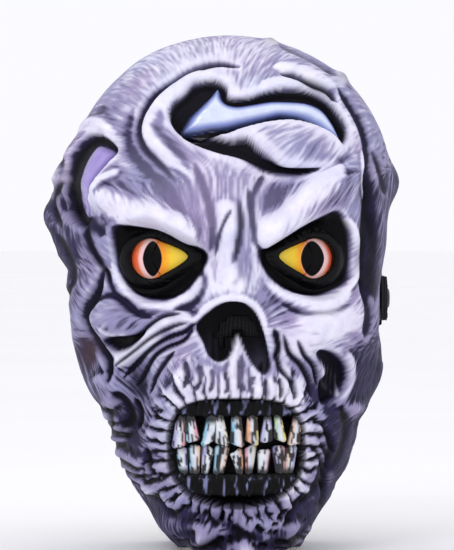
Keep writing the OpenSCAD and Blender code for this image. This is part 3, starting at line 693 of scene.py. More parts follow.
def forehead():
    trench = [(-19, 230), (-27, 241), (-26, 248), (-19, 254), (-13, 260), (-3, 262), (4, 258),
              (6, 252), (17, 252), (25, 255), (37, 257), (50, 256), (61, 250), (69, 240),
              (71, 231), (67, 225), (61, 231), (49, 237), (38, 239), (26, 237), (17, 235),
              (4, 232), (-5, 231)]
    patch(trench, -6.5, 1.3, wash=0.98, paint_soft=0.8)
    gash = [(-19, 230), (-11, 225), (0, 221), (11, 218), (19, 213), (26, 209), (36, 208),
            (46, 209), (53, 212), (36, 212), (29, 216), (22, 222), (15, 228), (6, 228), (-5, 231)]
    patch(gash, -6, 1.2, wash=0.97, paint_soft=0.9)
    lobe = [(8, 230), (20, 236), (32, 238), (48, 236), (62, 230), (68, 222), (60, 214), (52, 212),
            (36, 213), (28, 218), (20, 225)]
    patch(lobe, 3.5, 3.5, brush_and_shade=0.10)
    blob(-22, 226, 6, 10, 0, brush_and_shade=-0.22, turn=35)
    blob(-4, 213, 12, 6, 0, brush_and_shade=0.10)
    stroke([(11, 268), (-1, 270), (-13, 267), (-24, 260), (-35, 252), (-42, 241), (-44, 231),
            (-40, 222), (-32, 214), (-24, 205)], 2.1, -3.0, wash=0.62, brush_and_shade=-0.3)
    stroke([(-47, 244), (-50, 232), (-47, 221), (-38, 210), (-28, 200), (-19, 188)],
           4.5, -2.0, wash=0.08, brush_and_shade=-0.14)
    stroke([(-10, 266), (-24, 256), (-35, 243), (-38, 232), (-30, 221), (-18, 210)],
           3.6, 2.6, brush_and_shade=0.3)
    stroke([(34, 264), (42, 262), (52, 258), (60, 254), (65, 249)], 1.8, -3.5, wash=0.97)
    stroke([(30, 268), (42, 267), (54, 263), (64, 256)], 3, 1.8, brush_and_shade=0.2)
    stroke([(24, 259), (38, 260), (52, 259), (63, 251)], 2.2, 1.8, brush_and_shade=0.25)
    blob(29, 284, 4, 4, 2.5, wash=0.5)
    blob(68, 263, 5, 5, 3, wash=0.45)
    stroke([(33, 281), (45, 276), (56, 270), (66, 262)], 1.6, -1.5, wash=0.5)
    stroke([(66, 256), (74, 245), (80, 232), (82, 219), (82, 206), (83, 196)], 2.4, -2.6,
           wash=0.55, brush_and_shade=-0.3)
    stroke([(81, 214), (82, 206), (83, 193), (82, 179), (80, 165), (81, 150), (82, 138)], 3.8, -4,
           wash=0.97, brush_and_shade=-0.4)
    stroke([(81, 150), (82, 135), (80, 120)], 2.6, -2.6, wash=0.70, brush_and_shade=-0.3)
    stroke([(83, 196), (85, 184), (86, 170), (85, 155), (86, 140)], 3.2, -1.5, wash=0.85,
           brush_and_shade=-0.3)
    stroke([(85, 222), (89, 210), (92, 198)], 1.8, -1.2, wash=0.6)
    stroke([(78, 222), (79, 208), (80, 195)], 1.0, 1.2, brush_and_shade=0.7)


def temple():
    crescent = [(-56, 222), (-62, 229), (-69, 231), (-76, 227), (-82, 219), (-85, 208), (-85, 197),
                (-82, 186), (-75, 180), (-71, 189), (-71, 200), (-67, 209), (-61, 216)]
    patch(crescent, -5.5, 1.4, wash=0.95, paint_soft=1.0)
    stroke([(-58, 232), (-67, 237), (-78, 233), (-87, 220), (-90, 206), (-90, 190)], 4, 3,
           brush_and_shade=0.15)
    stroke([(-71, 200), (-63, 207), (-54, 211)], 2.0, 1.4, brush_and_shade=0.5)
    stroke([(-72, 186), (-68, 180), (-62, 176)], 2.5, -2, wash=0.4)
    stroke([(-90, 226), (-86, 214), (-88, 200), (-84, 186)], 2.0, -1.4, wash=0.35)


def brows():
    stroke([(-71, 197), (-58, 193), (-45, 189), (-33, 185), (-22, 179), (-12, 172)], 8, 4,
           brush_and_shade=0.32)
    stroke([(68, 213), (54, 203), (42, 192), (31, 182), (20, 171)], 8, 4.5, brush_and_shade=0.55)
    blob(30, 196, 10, 10, -1.6, wash=0.05, brush_and_shade=-0.12)
    blob(-28, 203, 9, 12, -1.2, brush_and_shade=-0.12, turn=50)
    for line, w, h, k in (
            ([(-13, 214), (-8, 201), (-4, 187), (-3, 176), (-5, 167)], 2.2, -1.7, 0.30),
            ([(7, 190), (1, 178), (-2, 165)], 1.2, -1.5, 0.55),
            ([(11, 195), (12, 180), (8, 161)], 1.4, -1.8, 0.72),
            ([(16, 201), (18, 187), (20, 174), (23, 165)], 1.6, -1.7, 0.38),
            ([(25, 209), (19, 198), (17, 188)], 1.6, -1.5, 0.34)):
        stroke(line, w, h, wash=k, brush_and_shade=-0.15)
    stroke([(4, 196), (3, 180), (4, 165), (5, 150)], 6, 2.0, brush_and_shade=0.12)
    blob(0, 148, 16, 9, 0.6, brush_and_shade=0.5)


LEFT_SOCKET = [(-57, 180), (-42, 180), (-30, 177), (-19, 171), (-7, 165), (-10, 156), (-16, 148),
               (-24, 143), (-32, 142), (-41, 143), (-48, 147), (-53, 155), (-57, 168)]
RIGHT_SOCKET = [(22, 166), (30, 169), (41, 176), (53, 183), (65, 188), (71, 179), (72, 167),
                (70, 152), (62, 146), (53, 143), (42, 145), (34, 149), (27, 155)]


def sockets():
    for ring in (LEFT_SOCKET, RIGHT_SOCKET):
        patch(ring, -3.0, 2.6, wash=1.0, paint_soft=1.8, gloss=0.5)
    stroke([(-58, 160), (-52, 148), (-42, 139), (-30, 137), (-18, 141), (-9, 149)], 2.6, 2.0,
           brush_and_shade=0.3)
    stroke([(-62, 158), (-58, 146), (-48, 136), (-36, 131)], 2, -1.8, wash=0.5)
    stroke([(26, 150), (34, 144), (44, 140), (55, 138), (66, 142), (74, 152)], 2.6, 2.0,
           brush_and_shade=0.35)
    stroke([(63, 184), (72, 181), (77, 168), (76, 155), (70, 146)], 2.4, 2.0, brush_and_shade=0.25)
    stroke([(34, 139), (46, 133), (60, 133), (70, 138)], 1.6, -1.2, wash=0.35)
    stroke([(-14, 160), (-8, 152), (-12, 141), (-24, 135)], 2.2, -1.4, wash=0.3, brush_and_shade=-0.2)


def cheeks():
    blob(-58, 130, 13, 9, 7.5, brush_and_shade=-0.04)
    stroke([(-69, 132), (-66, 140), (-58, 143), (-49, 139), (-42, 131)], 1.8, -1.6, wash=0.5)
    wedge = [(-63, 118), (-55, 121), (-47, 121.5), (-39, 124), (-44, 118), (-50, 114), (-58, 113)]
    patch(wedge, -5, 1.4, wash=0.98, paint_soft=1.4)
    stroke([(-62, 126), (-56, 121.5), (-48, 122)], 1.4, 1.2, brush_and_shade=0.25)
    stroke([(-64, 156), (-67, 145), (-71, 135), (-70, 126), (-66, 115), (-61, 107), (-60, 96)],
           2.6, -4, wash=0.9)
    blob(-80, 128, 7, 22, 4, brush_and_shade=-0.1)
    blob(-72, 111, 4, 9, -2.5, wash=0.35, tint=(0.38, 0.27, 0.33))
    stroke([(-66, 100), (-62, 90), (-58, 80)], 4, 2.5)
    stroke([(-14, 131), (-22, 130), (-31, 127), (-39, 119), (-47, 112), (-56, 105)], 5, 4.5,
           brush_and_shade=0.3)
    for k, line in enumerate((
            [(-13, 126), (-19, 119), (-28, 115), (-35, 110), (-41, 101), (-46, 93)],
            [(-11, 130), (-18, 124), (-26, 121), (-35, 116), (-44, 107), (-52, 98)],
            [(-16, 129), (-26, 126), (-36, 121), (-46, 113), (-57, 104)],
            [(-20, 133), (-30, 131), (-40, 124), (-48, 117)],
            [(-24, 113), (-30, 106), (-35, 98), (-38, 90)])):
        stroke(line, 1.2 + 0.25 * (k % 2), -2.2, wash=0.85)
    blob(60, 130, 19, 12, 4.5, brush_and_shade=0.75)
    blob(42, 118, 10, 9, 2.5, brush_and_shade=0.35)
    hole = [(54, 112), (62, 111), (68, 105), (68, 97), (63, 88), (57, 85), (56, 95), (59, 101)]
    patch(hole, -4.5, 2.6, wash=0.95, paint_soft=3.2)
    for k in range(5):
        stroke([(58 + 2 * k, 108 - 2 * k), (57 + 2 * k, 99 - 2 * k), (60 + k, 91 - k)], 0.8, 0.8,
               brush_and_shade=0.5)
    stroke([(70, 112), (72, 102), (70, 92), (64, 82)], 2.8, 2.6, brush_and_shade=0.15)
    for line, w in (([(35, 122), (38, 112), (45, 105), (49, 97), (50, 88)], 1.5),
                    ([(42, 120), (46, 111), (52, 104), (54, 94)], 1.3),
                    ([(31, 112), (33, 104), (38, 97), (40, 90)], 1.3),
                    ([(30, 125), (32, 116), (30, 108)], 1.9)):
        stroke(line, w, -2.6, wash=0.92)
    blob(-44, 96, 7, 15, -2.5, wash=0.55)
    blob(-48, 72, 6, 10, -2.5, wash=0.6)


def nose():
    cavity = [(-12, 127), (-5, 135), (3, 139.5), (12, 139.5), (19, 135), (23, 126), (26, 115),
              (28, 105), (25, 101), (21, 103), (16, 110), (13, 116), (10, 121), (8, 115), (5, 110),
              (0, 108), (-5, 111), (-8, 118)]
    patch(cavity, -3.0, 1.0, wash=1.0, paint_soft=1.0)
    stroke([(10, 122), (9, 112), (7, 104), (6, 98)], 2.0, 3.0, brush_and_shade=0.3)
    stroke([(-14, 128), (-6, 137), (4, 141.5), (13, 141.5), (21, 136), (26, 126)], 1.8, 1.6,
           brush_and_shade=0.35)


MOUTH_U, MOUTH_Z, MOUTH_HALF_U, MOUTH_HALF_Z = 9.5, 58.0, 37.0, 29.5
MOUTH_X = 1.5
MESH_ARCH = (83.6, 8.0, 25.0)  # radius, centre behind the mouth, half angle
MESH_Z, MESH_LONG, MESH_WIDE = (26, 88), 62.0, 72.7  # heights, and the flat size


def nostril_folds():
    """Painted light: lighter grey streaks on the folds low in the cavity."""
    lobes = (bell(np.hypot((U + 6) / 6, (Z - 112) / 7))
             + bell(np.hypot((U - 22) / 6, (Z - 108) / 8)))
    streaks = ease(0.45 + value_noise(np.stack([U / 1.9, Z / 8.0, 0 * U], axis=-1)))
    WASH[...] = WASH * (1 - 0.17 * np.clip(lobes, 0, 1) * streaks * FACING)


def mouth_ring(grow):
    """Outline of the open mouth: square above, rounder and narrower below."""
    a = np.linspace(0, 2 * np.pi, 96, endpoint=False)
    below = np.maximum(0, -np.sin(a))
    wide = (MOUTH_HALF_U + grow) * (1 - 0.13 * below ** 2)
    u = MOUTH_U + wide * power(np.cos(a), np.where(below > 0, 0.80, 0.60))
    z = MOUTH_Z + (MOUTH_HALF_Z + grow) * power(np.sin(a), np.where(below > 0, 0.78, 0.60))
    return np.stack([u, z], axis=1)


def lips():
    """Puckered folds that run right up to the edge of the open mouth."""
    ring = mouth_ring(0.0)
    closed_ring = np.vstack([ring, ring[:1]])
    length = np.linalg.norm(np.diff(closed_ring, axis=0), axis=1).sum()
    sel = region(U, Z, ring.min(0), ring.max(0), 26)
    sel = tuple(k[TURN[sel] < 75] for k in sel)
    cu, cz, face = U[sel], Z[sel], FACING[sel]
    inside = inside_distance(cu, cz, ring)
    _, place = near_line(cu, cz, closed_ring)
    out = np.maximum(-inside, 0)
    way = np.arctan2(cz - MOUTH_Z, cu - MOUTH_U)
    top, bottom = ease(np.sin(way) * 2.2 - 0.9), ease(-np.sin(way) * 2.2 - 0.9)
    right = ease(np.cos(way) * 2.0 - 0.6)
    spot = np.c_[cu, cz, 0 * cu]
    wobble = 0.34 * value_noise(spot / 7.0 + 5) + 0.16 * value_noise(spot / 2.6 + 9)
    wobble *= 1 - 0.45 * top
    pitch = 1.0 / round(length / 5.9)
    phase = place / pitch + wobble
    rng = np.random.default_rng(3)
    count = int(round(1 / pitch)) + 2
    index = np.clip(np.round(phase).astype(int) % (count - 1), 0, count - 1)
    strong = rng.uniform(0.55, 1.25, count)[index]
    reach = (11.0 + 5.5 * top - 3.0 * bottom) * rng.uniform(0.72, 1.25, count)[index]
    fold = np.abs(np.cos(math.pi * phase))
    crest = power(fold, 0.6)
    fade = ease((reach - out) / 6 + 0.5) * face
    lip = ease((out + 0.4) / 2.2)
    RISE[sel] += (3.3 * strong * crest - 1.5) * (1 - 0.40 * top) * fade * lip
    valley = ease((0.50 + 0.22 * np.exp(-out / 2.0) - fold) / 0.34) * fade
    WASH[sel] = np.maximum(WASH[sel], 0.97 * valley * (1 - 0.80 * top * ease((out - 0.8) / 3.5)))
    glow = 0.10 + 0.32 * right + 0.14 * top - 0.26 * bottom
    DRY_BRUSH_AND_SHADE[sel] += (glow * strong * crest) * fade
    GLOSS[sel] = np.maximum(GLOSS[sel], 0.5 * fade)
    RISE[sel] -= 15 * ease(inside / 2.2 + 0.2) * face
    WASH[sel] = np.maximum(WASH[sel], ease(inside / 1.3 + 0.95) * face)
    for u, z in ((21, 92), (29, 91), (36, 93), (43, 89)):
        blob(u, z, 3.0, 6, 3.4, brush_and_shade=0.75)
    for line in ([(25.2, 98), (25.5, 90), (25, 86)], [(32.6, 99), (33, 91), (32.6, 87)],
                 [(39.8, 98), (40.2, 91), (40, 87)]):
        stroke(line, 1.0, -2.0, wash=0.9)
    # purple seams and pits between the nose and the lip
    for line in ([(-18, 108), (-17, 100), (-19, 93)], [(-11, 106), (-10, 98), (-12, 92)],
                 [(-4, 104), (-3, 97), (-5, 91)], [(3, 102), (5, 95), (3, 90)],
                 [(13, 104), (12, 97), (14, 92)], [(19, 100), (18, 95)]):
        stroke(line, 1.3, -1.6, wash=0.50)


# Broad painted shade and light, partly the paint's own tone: place across and up, size across and
# up, darker (-) or lighter (+)
SHADES = [(-82, 160, 12, 26, -0.34), (-58, 130, 14, 10, -0.34), (-70, 112, 10, 10, -0.12),
          (62, 77, 13, 13, -0.42), (62, 50, 13, 20, -0.46), (52, 26, 13, 12, -0.34),
          (44, 78, 8, 8, -0.10), (-60, 62, 16, 16, -0.20), (-44, 40, 16, 16, -0.22),
          (-28, 18, 16, 12, -0.22), (10, 12, 34, 12, -0.24), (0, 276, 44, 13, 0.26),
          (-18, 262, 22, 10, 0.16), (-30, 196, 16, 10, 0.10), (84, 236, 12, 30, 0.16),
          (-28, 106, 14, 10, 0.14), (6, 100, 12, 10, 0.14), (30, 112, 10, 14, -0.10),
          (4, 194, 14, 12, 0.12), (-92, 196, 8, 16, -0.16), (-48, 158, 10, 12, -0.12),
          (22, 22, 30, 5, 0.08), (58, 122, 12, 10, 0.10), (-38, 98, 16, 10, -0.08),
          (-44, 132, 10, 10, -0.36), (-22, 130, 10, 9, -0.22), (8, 152, 18, 12, 0.18),
          (39, 130, 7, 11, -0.26), (-68, 180, 10, 12, -0.42), (19, 184, 8, 12, 0.16),
          (-45, 201, 10, 8, -0.16), (51, 90, 7, 9, -0.55), (-52, 66, 10, 12, -0.20),
          (84, 196, 8, 12, -0.18), (88, 104, 8, 12, -0.16), (-89, 176, 7, 14, -0.16)]


def broad_shades():
    # each patch adds painted shade (-) or painted light (+) to the dry brush
    for u, z, ru, rz, k in SHADES:
        blob(u, z, ru, rz, brush_and_shade=k)
    for line, w in (([(-73, 184), (-72, 174), (-68, 165), (-62, 156), (-60, 149)], 2.4),
                    ([(-90, 176), (-84, 167), (-80, 157), (-79, 147)], 2.0),
                    ([(-86, 206), (-90, 198), (-91, 188), (-87, 180)], 1.6),
                    ([(-80, 150), (-82, 138), (-80, 126)], 1.4),
                    ([(66, 82), (70, 70), (68, 58), (62, 46)], 2.4),
                    ([(58, 70), (62, 58), (58, 44), (50, 32)], 2.0),
                    ([(50, 62), (56, 50), (52, 38), (44, 28)], 1.6)):
        stroke(line, w, -1.6, wash=0.88)


MM_PER_DEGREE = 1.45  # along the skin, at the back


def rear_folds():
    """Shallow wandering folds and veins over the sides and the back."""
    arc = ANGLE * MM_PER_DEGREE
    weight = ease((TURN - 70) / 14) * ease((284 - Z) / 12)
    rng = np.random.default_rng(17)
    for side in (-1, 1):
        for k in range(13):
            a = side * (112 + 12.0 * k + rng.uniform(-5, 5))
            z = rng.uniform(120, 268) if k > 2 else rng.uniform(60, 150)
            run = rng.uniform(35, 75)
            line = [(a + rng.uniform(-1.5, 1.5) * (t > 0) + 5 * math.sin(3 * t + k), z - run * t)
                    for t in np.linspace(0, 1, 6)]
            raised = rng.uniform() < 0.45
            stroke(line, rng.uniform(3.0, 5.5), 1.3 if raised else -1.3,
                   wash=0.0 if raised else 0.30, brush_and_shade=0.03 if raised else -0.06,
                   coords=(arc, Z), weight=weight)
            if k % 2:
                fork = [(a + 2, z - run * 0.5), (a + side * 6, z - run * 0.65),
                        (a + side * 15, z - run * 0.75)]
                stroke(fork, rng.uniform(1.8, 3.2), -1.0, wash=0.25, coords=(arc, Z),
                       weight=weight)


def jaw():
    rng = np.random.default_rng(11)
    for k in range(34):
        u, z = rng.uniform(-16, 50), rng.uniform(1, 21)
        blob(u, z, rng.uniform(3, 7), rng.uniform(2, 4), rng.uniform(1.2, 3.6),
             brush_and_shade=rng.uniform(0, 0.16), turn=rng.uniform(-60, 60))
    for k in range(30):
        u, z = rng.uniform(-22, 52), rng.uniform(2, 24)
        run = rng.uniform(-6, 6, 2)
        stroke([(u, z), (u + run[0] * 0.6, z + run[1] * 0.5), (u + run[0], z + run[1])],
               rng.uniform(1.0, 2.0), -rng.uniform(1.5, 3), wash=rng.uniform(0.6, 0.98))
    blob(-27, 17, 8, 8, 3.5)
    blob(-5, 9, 8, 4.5, -3, wash=0.97)
    blob(37, 7, 9, 4.5, -3, wash=0.97)
    blob(15, 8, 4, 5, 2.5, brush_and_shade=0.5, turn=40)
    blob(34, 19, 9, 3, 1.5, brush_and_shade=0.22, turn=-8)
    blob(-16, 3, 6, 3, -2, wash=0.8)
    for k in range(7):
        z = 76 - 7 * k + rng.uniform(-1.5, 1.5)
        out = -74 + 5.2 * k + rng.uniform(-2, 2)
        run, fall = rng.uniform(12, 21), rng.uniform(-1, 7)
        stroke([(out, z + 2), (out + run / 2, z + rng.uniform(-1, 1)), (out + run, z - fall)],
               rng.uniform(1.9, 3.0), 2.8, brush_and_shade=0.16)
        stroke([(out, z - 2), (out + run / 2, z - 4), (out + run, z - 3 - fall)],
               rng.uniform(1.0, 1.8), -2.2, wash=0.88)
    blob(74, 80, 8, 5, 3.0, brush_and_shade=0.15)
    for line, w in (([(-58, 90), (-52, 84), (-50, 76), (-53, 68)], 2.6),
                    ([(-47, 86), (-44, 78), (-46, 70)], 1.8),
                    ([(-62, 82), (-58, 74), (-60, 66)], 1.8),
                    ([(-40, 60), (-38, 52), (-34, 45)], 1.8),
                    ([(-34, 36), (-28, 28), (-22, 22)], 2.0),
                    ([(46, 34), (40, 26), (36, 18)], 1.8)):
        stroke(line, w, -2.2, wash=0.94)
    for k in range(5):
        stroke([(54 + k, 74 - 11 * k), (61 - k, 66 - 11 * k), (64 - 3 * k, 56 - 11 * k)], 1.4,
               -2.2, wash=0.85)


for carve in (forehead, temple, brows, sockets, cheeks, lips, nose, nostril_folds, jaw,
              broad_shades, rear_folds):
    carve()

# ------------------------------------------------------------------ sculpted striations


def flow_field():
    """Direction of the sculpted hair lines over the face, in front view."""
    c2, s2 = np.zeros(SHAPE), np.zeros(SHAPE)

    def add(weight, angle):
        nonlocal c2, s2
        c2 = c2 + weight * np.cos(2 * angle)
        s2 = s2 + weight * np.sin(2 * angle)

    def around(cu, cz):
        return np.arctan2(Z - cz, U - cu)

    add(ease((Z - 196) / 22), around(2, 206))
    add(ease((214 - Z) / 18) * ease((Z - 104) / 16), around(8, 122))
    add(ease((118 - Z) / 14), around(MOUTH_U, MOUTH_Z))
    add(6 * bell(np.hypot((U - 44) / 26, (Z - 226) / 11)), math.radians(48))
    add(4 * bell(np.hypot((U - 4) / 14, (Z - 185) / 24)), math.radians(90))
    add(3 * bell(np.hypot((U + 36) / 22, (Z - 120) / 10)), math.radians(38))
    add(5 * ease((TURN - 76) / 50) * ease((262 - Z) / 20), math.radians(84))
    return np.arctan2(s2, c2) / 2


def striations():
    """Noise smeared along the flow, so that it reads as fine combed lines."""
    angle = flow_field()
    flat = np.stack([np.cos(angle), np.zeros(SHAPE), np.sin(angle)], axis=-1)
    along = unit(flat - (flat * NORMAL).sum(-1, keepdims=True) * NORMAL)
    total, weight = np.zeros(SHAPE), 0.0
    for t in np.linspace(-6.5, 6.5, 15):
        w = math.exp(-(t / 4.5) ** 2)
        total += w * value_noise((BASE + along * t) / 1.05)
        weight += w
    lines = total / weight * 3.4
    coarse = np.zeros(SHAPE)
    for t in np.linspace(-12, 12, 13):
        coarse += value_noise((BASE + along * t) / 3.1 + 40.0) / 13 * 3.0
    return np.clip(lines, -1.6, 1.6), np.clip(coarse, -1.6, 1.6)


LINES, COARSE_LINES = striations()
STRAP_SIDE = 78  # degrees from the front, from where the tab and the strap lie beside the head
calm = 1 - np.clip(WASH, 0, 1)
amount = (0.17 - 0.05 * ease((Z - 205) / 20) + 0.12 * ease((120 - Z) / 20)) * (0.25 + 0.75 * calm)
amount *= 1 - 0.55 * bell(np.hypot((U - 2) / 15, (Z - 165) / 26))
back = ease((TURN - 95) / 30)
amount *= 1 - 0.80 * ease((TURN - 60) / 60) * (1 - 0.75 * ease((Z - 225) / 30))
RISE += amount * (LINES + 0.55 * COARSE_LINES)
# behind, the moulding has only broad shallow folds
RISE += back * (0.9 * value_noise(BASE / np.array([22.0, 22.0, 60.0]))
                + 0.35 * value_noise(BASE / 9.0 + 5.0))

# Flat seats for the rivets, and room for the tab, the ring and the strap beside the head.
seat = bell((BASE[..., 1] - RIVET_Y) / 15) * bell((Z - RIVET_Z) / 15) * (TURN > 70)
RISE *= 1 - seat
ceiling = 1.2 + 2.5 * (1 - ease((TURN - STRAP_SIDE) / 10))
RISE = np.where(TURN > STRAP_SIDE, np.minimum(RISE, ceiling), RISE)
# The cut rim and the rear edge are trimmed clean.
RISE *= 0.15 + 0.85 * ease(Z / 5)

OUTER = BASE + NORMAL * RISE[..., None]
# The rim is cut by hand: it wanders a little, and lifts at the corners of the jaw.
lift = 3.4 * bell((TURN - 56) / 17) + 0.9 * (1 + value_noise(BASE / 9.0))
OUTER[..., 2] += lift * (1 - ease(Z / 14)) * (TURN < 100)

# ------------------------------------------------------------------ sockets meet the lens rims


def eye_local(p, side):
    """A point in an eye's own frame, turned outwards with the socket."""
    t = math.radians(side * EYE_TURN)
    x, y = p[..., 0] - side * PUPIL_X, p[..., 1] - EYE_Y
    return np.stack([x * math.cos(t) + y * math.sin(t), -x * math.sin(t) + y * math.cos(t),
                     p[..., 2] - PUPIL_Z - EYE_LIFT], axis=-1)


def from_eye(q, side):
    t = math.radians(side * EYE_TURN)
    return np.stack([side * PUPIL_X + q[..., 0] * math.cos(t) - q[..., 1] * math.sin(t),
                     EYE_Y + q[..., 0] * math.sin(t) + q[..., 1] * math.cos(t),
                     PUPIL_Z + EYE_LIFT + q[..., 2]], axis=-1)


def eye_outline(grow, side, steps=20):
    """The lens outline in the eye's frame: round, and drawn to a point towards the nose."""
    r = LENS_R + grow
    tip = LENS_TIP * r / LENS_R
    tangent = math.acos(r / tip)
    a = tangent + (2 * math.pi - 2 * tangent) * np.arange(steps + 1) / steps
    x = np.r_[-side * r * np.cos(a), -side * tip]
    z = np.r_[r * np.sin(a), 0.0]
    t = math.radians(-side * TIP_DROP)
    return np.stack([x * math.cos(t) - z * math.sin(t), x * math.sin(t) + z * math.cos(t)], axis=1)


RIM_GAP, SOCKET_FLOOR, HOLE_GAP = 1.7, -3.2, 3.4  # all measured from the lens
EYE_HOLE = np.zeros(SHAPE, bool)
for side in (-1, 1):
    q = eye_local(OUTER, side)
    front = (np.abs(q[..., 1]) < 45) & (TURN < 85) & (np.hypot(q[..., 0], q[..., 2]) < 45)
    sel = np.nonzero(front)
    lx, lz = q[..., 0][sel], q[..., 2][sel]
    gap = -inside_distance(lx, lz, eye_outline(RIM_GAP, side, 48))
    blend = 1 - ease((gap - 1.5) / 9.0)
    floor_y = SOCKET_FLOOR + 0.10 * np.maximum(gap, 0)
    y = q[..., 1][sel] * (1 - blend) + floor_y * blend
    moved = np.stack([lx, y, lz], axis=-1)
    OUTER[sel] = from_eye(moved, side)
    EYE_HOLE[sel] |= gap < HOLE_GAP

# ------------------------------------------------------------------ paint


SKIN_TONES = [(0.19, 0.17, 0.30), (0.60, 0.575, 0.71), (0.94, 0.93, 0.985), (0.012, 0.010, 0.02)]
PINK_VEIL, BLUE_VEIL, VEIL = (0.78, 0.62, 0.80), (0.62, 0.70, 0.90), 0.16


def paint_skin():
    """Dry-brushed highlights on what stands out and dark wash in what lies low, with painted shade
    down the sides as the front view sees them.
    """
    near = RISE - blur(RISE, 2.2, 2.2)
    far = RISE - blur(RISE, 8, 7)
    low = ease((126 - Z) / 30)
    rear = ease((TURN - 84) / 50)
    # painted shade: the sides darker as the front view sees them, fading towards the back
    fading = 1 - 0.85 * rear
    right_side_shade = ease((U - 73) / 7) * fading * (1 - 0.45 * ease((Z - 205) / 20))
    left_side_shade = ease((-73 - U) / 8) * fading
    comb = (LINES + 0.6 * COARSE_LINES) * calm * (1 - 0.5 * rear)
    tone = (0.46 + 0.25 * (1 - 0.6 * rear) * np.tanh(near / 0.20) + 0.24 * np.tanh(far / 1.2)
            + DRY_BRUSH_AND_SHADE + 0.05 * comb)
    tone += (0.14 * rear + 0.10 * value_noise(BASE / 11.0 + 31.0)
             + 0.12 * rear * value_noise(BASE / np.array([6.0, 6.0, 24.0])))
    tone -= (0.23 * low + 0.20 * ease((36 - Z) / 14)) * (1 - 0.5 * rear)
    tone -= 0.30 * right_side_shade + 0.24 * left_side_shade + 0.10 * right_side_shade * low
    # painted shade where the surface turns away from the front
    tone -= 0.12 * ease((TURN - 70) / 34)
    tone += 0.14 * ease((Z - 225) / 40) - 0.07 * ease((96 - Z) / 20) * (1 - rear)
    knee = 0.78
    tone = np.where(tone > knee, knee + 0.36 * np.tanh((tone - knee) / 0.50), tone) + 0.055 * comb
    tone = np.maximum(tone, 0.36 * bell(np.hypot((U + 8) / 50, (Z - 198) / 42)))
    tone = np.maximum(tone, 0.38 * bell(np.hypot((U - 4) / 36, (Z - 101) / 14)))
    shadow, mid, high, black = (linear(c) for c in SKIN_TONES)
    t = tone[..., None]
    colour = np.where(t < 0.5, shadow + (mid - shadow) * ease(t / 0.5),
                      mid + (high - mid) * ease((t - 0.5) / 0.55))
    mottle = value_noise(OUTER / 16.0 + 9.0)[..., None]
    for veil, hue in ((mottle, PINK_VEIL), (-mottle, BLUE_VEIL)):
        veil = np.clip(veil, 0, 1)
        colour = colour * (1 - VEIL * veil) + linear(hue) * VEIL * veil * (t > 0.3)
    w = np.clip(TINT_W, 0, 1)[..., None]
    colour = colour * (1 - w) + TINT * w * (0.7 + 0.6 * ease(t))
    crease = np.clip((-near - 0.10 + 0.05 * low) / (0.55 - 0.27 * low), 0, 1) * (0.52 + 0.48 * low)
    crease *= 1 - 0.70 * bell(np.hypot((U + 4) / 44, (Z - 197) / 40))
    crease *= 1 - 0.55 * bell(np.hypot((U - 4) / 38, (Z - 101) / 14))
    # black ink pools in the valleys of the lower face, and down the sides, where they are painted
    # shade
    pool = ease((value_noise(OUTER / 5.0 + 3.0) - 0.05) / 0.4) * ease((0.05 - near) / 0.25)
    pool *= (1 - rear)
    pool *= 0.85 * low + 0.5 * right_side_shade + 0.4 * left_side_shade
    wash = np.clip(np.maximum(np.maximum(WASH, 0.95 * crease), 0.85 * pool), 0, 1)[..., None]
    return np.clip(colour * (1 - wash) + black * wash, 0.001, 1)


PAINT_AND_SHADE = paint_skin()

# ------------------------------------------------------------------ the inside of the latex


LIP_TURN = 60  # degrees from the front
LATEX, LIP_GAP, LINING_GAP = 2.4, 1.5, 0.3  # thickness, and the gaps in front of the mouth mesh
AT_LIPS = ease(inside_distance(U, Z, mouth_ring(4.5)) / 3) * (TURN < LIP_TURN)


def before_mesh(p, gap):
    """The same points, but the lips' inner edge stays a gap in front of the mouth mesh."""
    x, y = p[..., 0] - MOUTH_X, MESH_ARCH[1] - p[..., 1]
    push = 1 + AT_LIPS * np.maximum((MESH_ARCH[0] + gap) / np.hypot(x, y) - 1, 0)
    return np.stack([MOUTH_X + x * push, MESH_ARCH[1] - y * push, p[..., 2]], axis=-1)


OUTER = before_mesh(OUTER, LIP_GAP)


def inside_grid():
    """The inner surface, clear of the deepest fold near it."""
    depth = ((OUTER - BASE) * NORMAL).sum(-1)
    low = depth.copy()
    for di in range(-COARSE, COARSE + 1):
        for dj in range(-COARSE, COARSE + 1):
            low = np.minimum(low, np.roll(np.roll(depth, di, 0), dj, 1))
    low[:4] = depth[:4]
    low[-4:] = depth[-4:]
    low = blur(low, 2.5, 2.5)
    return before_mesh(BASE + NORMAL * (low - LATEX)[..., None], LINING_GAP)


INNER = inside_grid()


PAINTED_RIM = 12  # millimetres: the black paint runs round the rim and so far up the inside, and there it is also painted shade for the dark gap under the lifted rim
PAINT_SIDE, RAW_SIDE = 0, 1


def nose_outline():
    """The opening behind the nose: round, with a notch for the partition."""
    ring = []
    for a in np.linspace(0, 2 * math.pi, 33)[:-1]:
        r = 13 + 2 * math.sin(a) - 9 * math.exp(-((math.degrees(a) - 266) / 24) ** 2)
        ring.append((2 + 1.1 * r * math.cos(a), 119 + r * math.sin(a)))
    return closed_spline(ring)


def open_cells(rows, cols):
    """The coarse cells that lie wholly inside an opening."""
    nose_hole = inside_distance(BASE[..., 0], Z, nose_outline()) > 1.5
    nose_hole &= (TURN < 40) & (WASH > 0.97)
    mouth_hole = (inside_distance(U, Z, mouth_ring(-2.2)) > 0) & (TURN < LIP_TURN)
    hole = EYE_HOLE | nose_hole | mouth_hole
    gone = np.ones((rows, cols), bool)
    for di in range(COARSE + 1):
        for dj in range(COARSE + 1):
            gone &= hole[di:di + COARSE * rows:COARSE, dj:dj + COARSE * cols:COARSE][:rows, :cols]
    return gone


